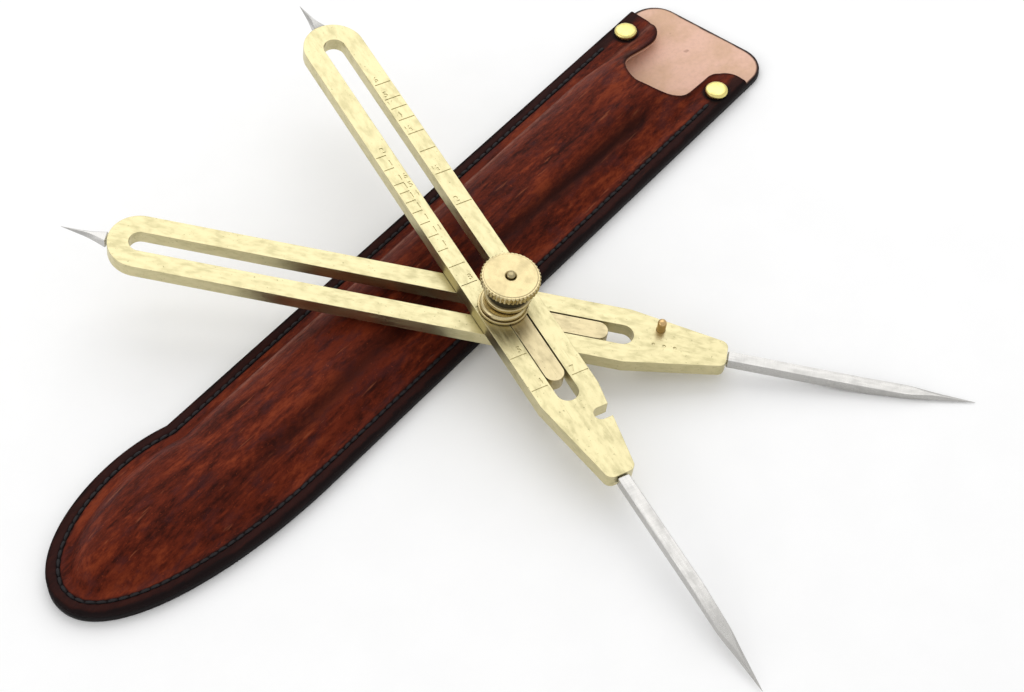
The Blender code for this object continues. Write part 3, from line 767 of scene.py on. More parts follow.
CUT_RUN = 0.001                 # how far a cutter runs past what it cuts
SHORT_SOCKET = 0.0042           # depth of the socket for a short point's tang
LONG_SOCKET = 0.0105            # and for a long point's
STUD_BORE = 0.0021              # radius of the stud's hole in the sliders and the nut
RING_BORE = 0.0039              # radius of the hole in the washer and the collar
RING_ROUND = 0.00025            # rounding of the washer and the collar


def leg_outline(box, sizes):
    """Round at the short point, straight sides, then closing in to the long point's end."""
    start, end = box[0].x, box[1].x
    half, end_half = box[1].y, sizes.end_width / 2
    corner = 0.0022
    outline = arc((start + half, 0), half, 90, 270, 48)
    outline.append((sizes.taper_start, -half))
    outline += arc((end - corner, corner - end_half), corner, -75, 0, 10)
    outline += arc((end - corner, end_half - corner), corner, 0, 75, 10)
    outline.append((sizes.taper_start, half))
    return outline


def socket_block(box, start, end):
    """Cutter for a point's tang, in the middle of the leg's thickness."""
    middle = (box[0].z + box[1].z) / 2
    half_width, half_thick = 0.0012, 0.0011
    return block((start, -half_width, middle - half_thick), (end, half_width, middle + half_thick))


def leg_blank(name, sizes):
    """Leg with its slot and tang sockets, and the peg's hole or notch."""
    box = LEG_BOX[name]
    low, high = box[0].z, box[1].z
    floor_gap, notch_half = 0.0003, 0.0018
    slot = stadium(box[0].x + sizes.slot_inset, sizes.slot_end, sizes.slot_width)
    cutters = [prism(slot, low - CUT_RUN, high + CUT_RUN),
               socket_block(box, box[0].x - CUT_RUN, box[0].x + SHORT_SOCKET),
               socket_block(box, box[1].x - LONG_SOCKET, box[1].x + CUT_RUN)]
    centre, radius = (PEG_BOX[0] + PEG_BOX[1]) / 2, (PEG_BOX[1].x - PEG_BOX[0].x) / 2
    if name == "lower":
        hole = arc((centre.x, centre.y), radius + TOUCH, 0, 345, 23)
        cutters.append(prism(hole, PEG_BOX[0].z - floor_gap, high + CUT_RUN))
    else:
        floor = centre.y - radius - floor_gap + notch_half
        notch = arc((centre.x, floor), notch_half, 180, 360, 18)
        notch += [(centre.x + notch_half, 2 * box[1].y), (centre.x - notch_half, 2 * box[1].y)]
        cutters.append(prism(notch, low - CUT_RUN, high + CUT_RUN))
    blank = carved(prism(leg_outline(box, sizes), low, high), cutters)
    return softened(blank, sizes.edge_round)


def scale_place(ratio, sizes):
    """Distance along the leg, from the pivot at rest, where the legs divide by this ratio."""
    box = LEG_BOX["upper"]
    short_tip = local_box("upper_short_point", UPPER_AXES)[0].x
    long_tip = local_box("upper_long_point", UPPER_AXES)[1].x
    place = short_tip + (long_tip - short_tip) * ratio / (1 + ratio) + sizes.scale_offset
    return min(max(place, box[0].x), box[1].x)


def scale_marks(sizes):
    """(place along the leg, side, figure) of each graduation: lines right, circles left.

    The last line stands alone, past the pivot, where a square's diagonal is to its side.
    """
    marks = [(1 / parts, 1, f"{parts:g}" if parts == int(parts) else "½")
             for parts in (2, 2.5, 3, 3.5, 4, 4.5, 5, 6)]
    marks.append((math.sqrt(2), 1, "7"))
    marks += [(2 * math.sin(math.pi / sides), -1, str(sides))
              for sides in (4, 5, *range(7, 17), 18, 20)]
    return [(scale_place(ratio, sizes), side, figure) for ratio, side, figure in marks]


def stamped_figure(text, x, y, top, sizes):
    """Cutter for a figure that reads across the leg, with its head towards the short point.

    It is filled and raised at a type size of one metre, and scaled down after that.
    """
    bolder, rise = 0.01, 5 * sizes.tick_depth / sizes.figure_height
    script = bpy.data.curves.new("figure", "FONT")
    script.body = text
    script.offset = bolder
    script.fill_mode = "FRONT"
    script.resolution_u = 2
    script.align_x = "CENTER"
    script.align_y = "BOTTOM"
    mesh = settled(bench_object(script, "figure"))
    bpy.data.curves.remove(script)
    bm = bmesh.new()
    bm.from_mesh(mesh)
    bpy.data.meshes.remove(mesh)
    bmesh.ops.remove_doubles(bm, verts=bm.verts, dist=1e-5)
    grown = bmesh.ops.extrude_face_region(bm, geom=bm.faces[:])["geom"]
    raised = [item for item in grown if isinstance(item, bmesh.types.BMVert)]
    bmesh.ops.translate(bm, verts=raised, vec=(0, 0, rise))
    turn = Matrix.Rotation(math.pi / 2, 4, "Z") @ Matrix.Scale(sizes.figure_height, 4)
    bm.transform(Matrix.Translation((x, y, top - sizes.tick_depth)) @ turn)
    return mesh_from(bm, "figure")


def scale_cutters(sizes):
    """Graduations and figures of the upper leg's two scales."""
    box = LEG_BOX["upper"]
    top, outer = box[1].z, box[1].y - 0.0003
    long_start, short_start, half = 0.0036, 0.0053, sizes.tick_width / 2
    figure_row, figure_gap = 0.0047, 0.00045
    cutters = []
    for x, side, figure in scale_marks(sizes):
        start = long_start if len(figure) == 1 else short_start
        near, far = sorted((side * start, side * outer))
        cutters.append(block((x - half, near, top - sizes.tick_depth),
                             (x + half, far, top + 4 * sizes.tick_depth)))
        cutters.append(stamped_figure(figure, x - figure_gap, side * figure_row, top, sizes))
    return cutters


def punch_cutters():
    """Three small round punch marks in a row on the lower leg's face."""
    top = LEG_BOX["lower"][1].z
    row, radius, depth = -0.0012, 0.00045, 0.0003
    profile = [(0, top + depth), (radius * 1.3, top + depth), (radius * 0.8, top - depth * 0.6),
               (0, top - depth)]
    cutters = []
    for x in (0.0390, 0.0418, 0.0446):
        dot = turned(profile, 14)
        dot.transform(Matrix.Translation((x, row, 0)))
        cutters.append(dot)
    return cutters


def engraved(mesh, cutters, brass, wax):
    """The mesh with marks cut into it, their floors in dark wax."""
    marks = joined(cutters)
    for polygon in marks.polygons:
        polygon.material_index = 1
    for owner in (mesh, marks):
        owner.materials.clear()
        owner.materials.append(brass)
        owner.materials.append(wax)
    return carved(mesh, [marks], overlapping=True)


def make_leg(name, sizes, colours):
    brass = hand_rubbed_brass(name + "_leg_brass", colours.brass, colours.tarnish)
    wax = dark_engraving(colours.engraving)
    cutters = scale_cutters(sizes) if name == "upper" else punch_cutters()
    mesh = smoothed(engraved(leg_blank(name, sizes), cutters, brass, wax))
    add_piece(name + "_leg_brass", mesh, name + "_leg", [name + "_leg"], [brass, wax],
              LEG_AXES[name])


def eight_sided(x, half_width, middle, half_thick, flat):
    """Section of a point: a bar with narrow chamfers when flat is near 1, a diamond near 0."""
    corners = ((flat, 1), (1, flat), (1, -flat), (flat, -1), (-flat, -1), (-1, -flat), (-1, flat),
               (-flat, 1))
    return [(x, half_width * across, middle + half_thick * up) for across, up in corners]


def point_mesh(name, end, sizes):
    """Steel point: tang, bar, and a tip ground to a ridge on each face."""
    node = f"{name}_{end}_point"
    low, high = local_box(node, LEG_AXES[name])
    leg_low, leg_high = LEG_BOX[name]
    side = 1 if end == "long" else -1
    gap, ease, shortest, steps = 0.0002, 0.0003, 0.0006, 8
    tang_size, bar_flat = (0.0010, 0.0009, 0.9), 0.88
    lean_share, taper_share, taper_curve = 0.93, 0.965, 1.25 if end == "long" else 1
    shoulder = (leg_high.x if side > 0 else leg_low.x) + side * gap
    tang, tip = (low.x, high.x) if side > 0 else (high.x, low.x)
    middle = (leg_low.z + leg_high.z) / 2
    half_width, half_thick = (high.y - low.y) / 2, 0.0015
    plane = leg_low.z if name == "upper" else leg_high.z
    reach = min(sizes.grind, abs(tip - shoulder))
    loops = [eight_sided(x, tang_size[0], middle, *tang_size[1:])
             for x in (tang, shoulder - side * TOUCH)]
    loops += [eight_sided(shoulder, half_width * 0.90, middle, half_thick * 0.90, 0.85),
              eight_sided(shoulder + side * ease, half_width, middle, half_thick, bar_flat)]
    start = tip - side * reach
    if end == "long":
        kept = reach / sizes.relief_run
        relief = tip - side * sizes.relief_run
        loops.append(eight_sided(relief, half_width, middle, half_thick, bar_flat))
        middle, half_thick = plane + (middle - plane) * kept, half_thick * kept
        loops.append(eight_sided(start, half_width, middle, half_thick, bar_flat))
    for step in range(1, steps + 1):
        t = step / steps
        lean = middle + (plane - middle) * lean_share * t
        taper = 1 - taper_share * t ** taper_curve
        flat = bar_flat * (1 - min(1, 2.2 * t)) + 1 - bar_flat
        loops.append(eight_sided(start + side * max(reach * t, shortest), half_width * taper, lean,
                                 half_thick * taper, flat))
    return section_solid(loops)


def make_points(sizes, colours):
    steel = ground_steel(colours.steel)
    for name in ("lower", "upper"):
        for end in ("long", "short"):
            mesh = smoothed(point_mesh(name, end, sizes), 12)
            add_piece(f"{name}_{end}_point_steel", mesh, name + "_leg",
                      [f"{name}_{end}_point"], [steel], LEG_AXES[name])


def make_sliders(sizes, colours):
    for name, body in (("lower", "lower_slide"), ("upper", "upper_slide")):
        low, high = local_box(name + "_slider", LEG_AXES[name])
        bar = prism(stadium(low.x, high.x, sizes.slider_width), low.z, high.z)
        top, bottom = high.z + CUT_RUN, low.z - CUT_RUN
        bore = turned([(0, top), (STUD_BORE, top), (STUD_BORE, bottom), (0, bottom)], 40)
        mesh = smoothed(softened(carved(bar, [bore]), sizes.edge_round))
        mesh.transform(Matrix.Translation((0, -sizes.slider_shift, 0)))
        brass = hand_rubbed_brass(name + "_slider_brass", colours.slider_brass,
                                  scaled_colour(colours.slider_brass, 0.72))
        add_piece(name + "_slider_brass", mesh, body, [name + "_slider"], [brass],
                  LEG_AXES[name])


def make_peg(colours):
    low, high = PEG_BOX
    centre, radius = (low + high) / 2, (high.x - low.x) / 2
    top = high.z
    profile = [(0, top), (radius * 0.35, top - 0.00004), (radius * 0.65, top - 0.00016),
               (radius * 0.88, top - 0.00038), (radius, top - 0.00075),
               (radius * 0.97, top - 0.0020), (radius, top - 0.0032), (radius, low.z), (0, low.z)]
    mesh = smoothed(turned(profile, 28), 50)
    mesh.transform(Matrix.Translation((centre.x, centre.y, 0)))
    add_piece("closing_peg_copper", mesh, "lower_leg", ["closing_peg"],
              [beaten_metal("peg_copper", colours.copper)], LOWER_AXES)


def stud_profile():
    low, top = STUD_BOX[0].z, STUD_BOX[1].z
    head_radius, head_top = STUD_BOX[1].x, low + 0.0008
    shank, nub = 0.0018, 0.00115
    dome = [(0, top), (nub * 0.40, top - 0.00003), (nub * 0.75, top - 0.00016),
            (nub * 0.95, top - 0.00038), (nub, top - 0.00060), (nub * 0.93, top - 0.00085),
            (nub, top - 0.0011), (nub, top - 0.0018)]
    thread_top, pitch, thread_turns, thread_depth = top - 0.0020, 0.0006, 11, 0.00022
    thread = []
    for turn in range(thread_turns):
        height = thread_top - turn * pitch
        thread += [(shank, height), (shank - thread_depth, height - pitch / 2)]
    foot = [(shank, thread_top - thread_turns * pitch), (shank, head_top), (head_radius, head_top),
            (head_radius, low + 0.0003), (head_radius - 0.0003, low + 0.00008),
            (head_radius - 0.0006, low), (0, low)]
    return dome + thread + foot


def nut_profile(sizes):
    """Nut from its foot up the outside, over the knurled rim, and down its bore."""
    low, top = NUT_BOX[0].z, NUT_BOX[1].z
    outside = NUT_BOX[1].x - sizes.tooth_depth
    knurl_low = top - sizes.knurl_height
    flange_top = knurl_low - sizes.neck_height
    flange, neck, mouth = 0.00615, 0.0048, 0.00128
    return rounded([
        (STUD_BORE, low, False), (flange - 0.00035, low, True), (flange, low + 0.0004, True),
        (flange, flange_top - 0.0002, True), (flange - 0.00055, flange_top, True),
        (neck + 0.0001, flange_top + 0.0002, True), (neck, knurl_low - 0.0001, True),
        (outside - 0.0005, knurl_low, True), (outside, knurl_low + 0.0003, True),
        (outside, top - 0.0003, True), (outside - 0.0004, top, True), (mouth + 0.0003, top, True),
        (mouth, top - 0.0003, True), (mouth, top - 0.0007, False),
        (STUD_BORE, top - 0.0008, False)], 0.0003)


def knurl_tooth(sizes):
    """One straight tooth: a narrow ridge with sloped ends, standing on the rim."""
    height, margin, slope_end = sizes.knurl_height, 0.00012, 0.00045
    pitch = 2 * math.pi * (NUT_BOX[1].x - sizes.tooth_depth) / sizes.tooth_count
    foot, crest, sink = pitch * 0.47, pitch * 0.13, -0.0003
    loops = []
    for z, reach in ((margin, 0.15), (slope_end, 1.0), (height - slope_end, 1.0),
                     (height - margin, 0.15)):
        peak = sizes.tooth_depth * reach
        loops.append([(sink, -foot, z), (0.0, -foot, z), (peak, -crest, z), (peak, crest, z),
                      (0.0, foot, z), (sink, foot, z)])
    return section_solid(loops)


def add_clamp_ring(node, box, outside, finish):
    """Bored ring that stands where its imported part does, a little off the pivot's axis."""
    low, high = box
    profile = [(RING_BORE, low.z, False), *outside, (RING_BORE, high.z, False)]
    mesh = smoothed(turned(rounded(profile, RING_ROUND), 96, bored=True), 50)
    mesh.transform(Matrix.Translation(((low.x + high.x) / 2, (low.y + high.y) / 2, 0)))
    add_piece(node + "_brass", mesh, "clamp", [node], [finish], UPPER_AXES)


def make_clamp(sizes, colours):
    """Stud and knurled nut on the pivot's axis, and the loose washer and collar between."""
    knurl_low = NUT_BOX[1].z - sizes.knurl_height
    turned_brass = lathe_brass("turned_brass", colours.nut_brass, knurl_low)
    stud_brass = lathe_brass("stud_brass", scaled_colour(colours.nut_brass, 0.70))
    add_piece("pivot_stud_brass", smoothed(turned(stud_profile(), 48), 50), "lower_slide",
              ["pivot_stud"], [stud_brass], UPPER_AXES)

    low, high = WASHER_BOX
    radius = (high.x - low.x) / 2
    add_clamp_ring("friction_washer", WASHER_BOX, [(radius, low.z, True), (radius, high.z, True)],
                   turned_brass)
    low, high = COLLAR_BOX
    radius = (high.x - low.x) / 2
    add_clamp_ring("clamp_collar", COLLAR_BOX,
                   [(radius, low.z, True), (radius - 0.0001, low.z + 0.0006, True),
                    (radius - 0.0005, high.z, True)], turned_brass)

    tooth = bench_object(knurl_tooth(sizes), "tooth")
    body = smoothed(turned(nut_profile(sizes), 144, bored=True), 50)
    values = {"Tooth": tooth, "Count": sizes.tooth_count, "Height": knurl_low,
              "Radius": NUT_BOX[1].x - sizes.tooth_depth, "Material": turned_brass}
    add_piece("thumb_nut_brass", grown(body, knurl_tree(), values, tooth), "nut",
              ["thumb_nut"], [turned_brass], UPPER_AXES)


# --- Sheath ------------------------------------------------------------------------------------

SEAM_WIDTH = 0.00055            # half width of the groove under the stitches


def bezier(points, t):
    """Point on a cubic curve, for an array of places t from 0 to 1."""
    t = t[:, None]
    p0, p1, p2, p3 = (np.array(point) for point in points)
    return p0 * (1 - t) ** 3 + 3 * p1 * t * (1 - t) ** 2 + 3 * p2 * t ** 2 * (1 - t) + p3 * t ** 3


def toe_curves():
    """Near and far curves of the toe, each from the straight side round to the toe's tip."""
    tip = (-HALF_LENGTH, 0.0035)
    near = [(-0.0610, -HALF_WIDTH), (-0.0970, -HALF_WIDTH), (-HALF_LENGTH, -0.0125), tip]
    far = [(-0.0750, HALF_WIDTH), (-0.0960, 0.0292), (-HALF_LENGTH, 0.0213), tip]
    return near, far


def toe_line(steps=64):
    """Edge from the near side's start, round the toe, to the far side's start."""
    near, far = toe_curves()
    t = np.linspace(0, 1, steps + 1)
    return np.vstack([bezier(near, t), bezier(far, t[::-1])[1:]])


def side_line(end_x):
    """The toe's edge with its two straight sides carried on to end_x."""
    return np.vstack([[end_x, -HALF_WIDTH], toe_line(), [end_x, HALF_WIDTH]])


def mouth_x(y, sizes):
    """Where the front panel's straight mouth lies at this distance from the centre line."""
    return FRONT_BOX[1].x - sizes.mouth_skew * (HALF_WIDTH - y)


def thumb_line(sizes):
    """Mouth of the front panel from the near side to the far: lobe, thumb cut, lobe."""
    half, middle = sizes.thumb_cut_width / 2, sizes.thumb_cut_y
    near, far = sizes.near_lobe_round, sizes.far_lobe_round
    near_y, far_y = middle - half - near, middle + half + far
    line = [(mouth_x(-HALF_WIDTH, sizes), -HALF_WIDTH)]
    line += arc((mouth_x(near_y, sizes) - near, near_y), near, 0, 90, 14)
    line += arc((sizes.thumb_cut_x + half, middle), half, 270, 90, 30)
    line += arc((mouth_x(far_y, sizes) - far, far_y), far, -90, 0, 18)
    return np.array(line + [(mouth_x(HALF_WIDTH, sizes), HALF_WIDTH)])


def flap_line(sizes):
    """End of the back panel's flap from the near side to the far."""
    end, corner = HALF_LENGTH, sizes.flap_corner
    line = arc((end - corner, corner - HALF_WIDTH), corner, -90, 0, 16)
    return np.array(line + arc((end - corner, HALF_WIDTH - corner), corner, 0, 90, 16))


def along_line(line, shares):
    """Points at the given shares of a line's length."""
    steps = np.linalg.norm(np.diff(line, axis=0), axis=1)
    reach = np.concatenate([[0], np.cumsum(steps)]) / steps.sum()
    return np.stack([np.interp(shares, reach, line[:, axis]) for axis in (0, 1)], axis=1)


def distance_to(line, places):
    """Distance from each place to a line, and how far along the line its nearest point lies."""
    nearest, travel, start_travel = np.full(len(places), 1e9), np.zeros(len(places)), 0.0
    for start, end in zip(line, line[1:]):
        along = end - start
        size = np.linalg.norm(along)
        if size < 1e-9:
            continue
        t = np.clip((places - start) @ along / size ** 2, 0, 1)
        gap = np.linalg.norm(places - start - t[:, None] * along, axis=1)
        closer = gap < nearest
        nearest[closer] = gap[closer]
        travel[closer] = start_travel + t[closer] * size
        start_travel += size
    return nearest, travel


def edge_drop(distance, radius):
    """How far a rounded edge falls away at this distance from it."""
    inward = radius - np.clip(distance, 0, radius)
    return radius - np.sqrt(radius ** 2 - inward ** 2)


def bell(values, centre, width):
    return np.exp(-((values - centre) / width) ** 2)


def fade(values, start, end):
    t = np.clip((values - start) / (end - start), 0, 1)
    return t * t * (3 - 2 * t)


def row_shares(step):
    """Shares across the panel, close together at both edges where the seam lies."""
    rim = [0, 0.05, 0.13, 0.25, 0.42, 0.65, 0.95, 1.3, 1.7, 2.05, 2.35, 2.6, 2.8, 3.0, 3.2, 3.4,
           3.6, 3.85, 4.15, 4.6, 5.1, 5.6]
    width = 2 * HALF_WIDTH
    rim = np.array(rim) / 1000 / width
    count = round((1 - 2 * rim[-1]) * width / step)
    middle = np.linspace(rim[-1], 1 - rim[-1], count + 1)[1:-1]
    return np.concatenate([rim, middle, 1 - rim[::-1]])


def panel_places(end_line, shares, toe_steps, side_steps):
    """Level grid of places, from the toe's tip to the end line, in rows along the sheath."""
    near, far = toe_curves()
    t = np.linspace(1, 0, toe_steps + 1)
    across = shares[None, :, None]
    toe = bezier(near, t)[:, None, :] * (1 - across) + bezier(far, t)[:, None, :] * across
    start, end = toe[-1], along_line(end_line, shares)
    rounding = 1 - np.array([0.0010, 0.0007, 0.00045, 0.00025, 0.0001, 0.0]) / HALF_LENGTH
    last_side, swing_start = rounding[0] - 0.004, 0.55
    t = np.concatenate([np.linspace(0, last_side, side_steps)[1:], rounding])[:, None]
    swing = fade(t, swing_start, 1.0)
    x = start[:, 0] + (end[:, 0] - start[:, 0]) * t
    y = start[:, 1] + (end[:, 1] - start[:, 1]) * swing
    return np.concatenate([toe, np.stack([x, y], axis=2)])


def panel_mesh(places, top, bottom, levels):
    """Closed shell from two heights at each place of a grid. Levels are (top, wall, bottom)."""
    flat = places.reshape(-1, 2)
    count = len(flat)
    grid = np.arange(count).reshape(places.shape[:2])
    rim = np.concatenate([grid[1:, 0][::-1], [grid[0, 0]], grid[1:, -1], grid[-1, 1:-1][::-1]])
    middle = (top[rim] + bottom[rim]) / 2
    coordinates = np.vstack([np.column_stack([flat, top]), np.column_stack([flat, bottom]),
                             np.column_stack([flat[rim], middle])])
    quads = np.stack([grid[:-1, :-1], grid[1:, :-1], grid[1:, 1:], grid[:-1, 1:]], axis=-1)
    upper = quads.reshape(-1, 4)
    lower = upper[:, ::-1] + count
    wall_ring = 2 * count + np.arange(len(rim))
    after = np.roll(np.arange(len(rim)), -1)
    upper_wall = np.column_stack([rim, wall_ring, wall_ring[after], rim[after]])
    lower_wall = np.column_stack([wall_ring, rim + count, rim[after] + count, wall_ring[after]])
    faces = np.vstack([upper, lower, upper_wall, lower_wall])
    mesh = bpy.data.meshes.new("panel")
    mesh.from_pydata(coordinates.tolist(), [], faces.tolist())
    for name, (on_top, on_wall, on_bottom) in levels.items():
        values = np.concatenate([np.broadcast_to(on_top, count), np.broadcast_to(on_bottom, count),
                                 np.broadcast_to(on_wall, count)[rim]])
        layer = mesh.attributes.new(name, "FLOAT", "POINT")
        layer.data.foreach_set("value", values.astype(np.float32))
    bm = bmesh.new()
    bm.from_mesh(mesh)
    bpy.data.meshes.remove(mesh)
    bmesh.ops.remove_doubles(bm, verts=bm.verts, dist=2e-6)
    result = mesh_from(bm, "panel")
    result.shade_smooth()
    return result


def leather_noise(flat, stretch):
    """Even, repeatable unevenness at each place."""
    roughness, spacing, octaves = 1.0, 2.0, 3
    return np.array([noise.fractal(Vector((x * stretch[0], y * stretch[1], stretch[2])),
                                   roughness, spacing, octaves) for x, y in flat])


def dent_near(gap, width):
    """How much of a dent is left at this distance outside what presses it."""
    return np.exp(-(np.clip(gap, 0, None) / width) ** 2)


def rivet_gap(flat):
    """Distance outside the nearer rivet's cap."""
    gaps = []
    for low, high in CAP_BOXES:
        centre = np.array(((low + high) / 2).xy)
        gaps.append(np.linalg.norm(flat - centre, axis=1) - (high.x - low.x) / 2)
    return np.minimum(*gaps)


def make_sheath_front(sizes, colours):
    """Moulded pocket: flat sewn rim, full crown, long wrinkles, dented rivets and thumb cut."""
    row_step, toe_steps, side_steps = 0.00078, 130, 290
    mouth_line = thumb_line(sizes)
    places = panel_places(mouth_line, row_shares(row_step), toe_steps, side_steps)
    flat = places.reshape(-1, 2)
    edge, travel = distance_to(side_line(2 * HALF_LENGTH), flat)
    mouth, _ = distance_to(mouth_line, flat)
    x, y = flat[:, 0], flat[:, 1]

    back_top = BACK_BOX[1].z
    flange_top = FRONT_BOX[0].z + sizes.leather_thick
    mouth_flatness = 0.62
    crown_rise = (FRONT_BOX[1].z - flange_top) * (1 - mouth_flatness * fade(x, 0.094, 0.115))
    flange = sizes.flange + (sizes.mouth_flange - sizes.flange) * fade(x, 0.084, 0.106)
    inward = np.clip((edge - flange) / (HALF_WIDTH - flange), 0, 1)
    height = flange_top + crown_rise * (1 - (1 - inward) ** 3)

    raised = fade(height, flange_top, flange_top + 0.002)
    ridge_y, ridge_width, ridge_height = 0.0132, 0.0009, 0.00055
    ridge = bell(y, ridge_y, ridge_width) * fade(x, -0.075, -0.045) * (1 - 0.4 * fade(x, 0.02, 0.1))
    valley_y = -0.0085 + 0.0010 * fade(x, -0.06, -0.02) - 0.0022 * fade(x, -0.02, 0.09)
    valley_width, valley_depth = 0.0025, 0.0016
    valley = bell(y, valley_y, valley_width) * fade(x, -0.105, -0.050)
    valley *= (0.72 + 0.28 * fade(x, 0.0, 0.06)) * (1 - 0.7 * fade(x, 0.078, 0.094))
    fold_y, fold_width, fold_depth = -0.0010, 0.0018, 0.00027
    fold = bell(y, fold_y, fold_width) * fade(x, 0.0, 0.07)
    waves = leather_noise(flat, (28.0, 170.0, 0.3)) - 0.35
    height += raised * (ridge_height * ridge - valley_depth * valley - fold_depth * fold
                        + sizes.wrinkle * waves)
    under = height - sizes.leather_thick - (FRONT_BOX[0].z - back_top - TOUCH) * (1 - raised)

    pucker = 0.75 + 0.25 * np.cos(2 * math.pi * travel / sizes.stitch_pitch)
    seam_end = THREAD_BOX[1].x
    seam = bell(edge, sizes.seam_inset, SEAM_WIDTH) * (1 - fade(x, seam_end, seam_end + 0.002))
    dent_depth, dent_width = 0.00035, 0.0010
    top = height - sizes.seam_groove * seam * pucker
    top -= dent_depth * dent_near(rivet_gap(flat), dent_width)
    top -= edge_drop(edge, sizes.edge_round) + edge_drop(mouth, 0.0005)
    under += edge_drop(mouth, 0.0004) * raised

    out_of_reach = 5.0
    edge_mm, mouth_mm, rivet_mm = 1000 * edge, 1000 * mouth, 1000 * rivet_gap(flat)
    inner_wall, inner = 0.6 * fade(edge, 0.002, 0.004), fade(edge, 0.001, 0.003)
    levels = {"edge": (edge_mm, 0.0, edge_mm), "mouth": (mouth_mm, mouth_mm, out_of_reach),
              "rivet": (rivet_mm, out_of_reach, out_of_reach), "inside": (0.0, inner_wall, inner),
              "ridge": (ridge, 0.0, 0.0), "valley": (valley, 0.0, 0.0), "seam": (seam, 0.0, 0.0)}
    add_piece("sheath_front_leather", panel_mesh(places, top, under, levels), "sheath",
              ["sheath_front"], [dyed_leather(colours)])


def make_sheath_back(sizes, colours):
    """Flat back panel: flesh side up, rounded flap, and a groove for the stitches beneath."""
    row_step, toe_steps, side_steps = 0.0012, 90, 210
    end_line = flap_line(sizes)
    places = panel_places(end_line, row_shares(row_step), toe_steps, side_steps)
    flat = places.reshape(-1, 2)
    x, y = flat[:, 0], flat[:, 1]
    outline = np.vstack([toe_line(), end_line[::-1]])
    edge, _ = distance_to(np.vstack([outline, outline[:1]]), flat)
    corner, nap_depth = 0.0005, 0.00008
    free = fade(x - mouth_x(y, sizes), -0.0005, 0.0005)
    top = BACK_BOX[1].z - edge_drop(edge, corner) * (0.3 + 0.7 * free)
    top -= nap_depth * (1 + leather_noise(flat, (160.0, 160.0, 2.0))) * fade(edge, 0.0, 0.002)
    seam = bell(edge, sizes.seam_inset, SEAM_WIDTH) * (1 - fade(x, 0.103, 0.105))
    seat_margin, seat_width, seat_depth = 0.0003, 0.0004, 0.00022
    seat = seat_depth * dent_near(rivet_gap(flat) + seat_margin, seat_width)
    bottom = edge_drop(edge, corner) + (sizes.seam_groove + 0.0004) * seam + seat
    edge_mm = 1000 * edge
    levels = {"edge": (edge_mm, 0.0, edge_mm), "inside": (0.0, 0.0, 1.0)}
    add_piece("sheath_back_leather", panel_mesh(places, top, bottom, levels), "sheath",
              ["sheath_back"], [flesh_leather(colours)])


def seam_line(inset, height):
    """Centre line of the stitching as a mesh of edges at one height."""
    end_x = THREAD_BOX[1].x
    line = np.vstack([[end_x, -HALF_WIDTH], toe_line(48), [end_x, HALF_WIDTH]])
    along = np.gradient(line, axis=0)
    along /= np.linalg.norm(along, axis=1)[:, None]
    path = line + np.column_stack([along[:, 1], -along[:, 0]]) * inset
    mesh = bpy.data.meshes.new("seam")
    edges = [(place, place + 1) for place in range(len(path) - 1)]
    mesh.from_pydata([(x, y, height) for x, y in path], edges, [])
    return mesh


def stitch_mesh(sizes):
    """One stitch: a short plump bead with narrowed ends that dip into their holes."""
    half_length, half_width, half_height = sizes.stitch_pitch / 2, sizes.stitch_width / 2, 0.00030
    end_dip, fullness, steps = 0.00030, 0.94, 6
    loops = []
    for step in range(steps + 1):
        t = -1 + 2 * step / steps
        swell = math.sqrt(1 - (fullness * t) ** 2)
        dip = -end_dip * t ** 4
        loops.append([(half_length * t, half_width * swell * math.cos(turn), dip
                       + half_height * swell * math.sin(turn))
                      for turn in (math.pi * side / 4 for side in range(8))])
    mesh = section_solid(loops)
    mesh.shade_smooth()
    return mesh


def make_stitches(sizes, colours):
    thread = waxed_thread(colours.thread)
    flange_top = FRONT_BOX[0].z + sizes.leather_thick
    for side, height, seed in (("front", flange_top - 0.00005, 4), ("back", 0.00048, 9)):
        stitch = bench_object(stitch_mesh(sizes), "stitch")
        values = {"Stitch": stitch, "Pitch": sizes.stitch_pitch, "Unevenness": 0.10, "Seed": seed,
                  "Material": thread}
        mesh = grown(seam_line(sizes.seam_inset, height), stitch_tree(), values, stitch)
        add_piece("seam_stitches_" + side, mesh, "sheath", ["seam_thread_" + side],
                  [thread])


def point_cloud(boxes, height):
    mesh = bpy.data.meshes.new("points")
    centres = [(low + high) / 2 for low, high in boxes]
    mesh.from_pydata([(centre.x, centre.y, height) for centre in centres], [], [])
    return mesh


def add_rivets(name, part, boxes, solid, brass):
    """The same rivet part at each of the boxes, as one finished piece."""
    rivet = bench_object(solid, "rivet")
    mesh = grown(point_cloud(boxes, boxes[0][0].z), rivet_tree(),
                 {"Rivet": rivet, "Material": brass}, rivet)
    add_piece(name, mesh, "sheath", [part + "_near", part + "_far"], [brass])


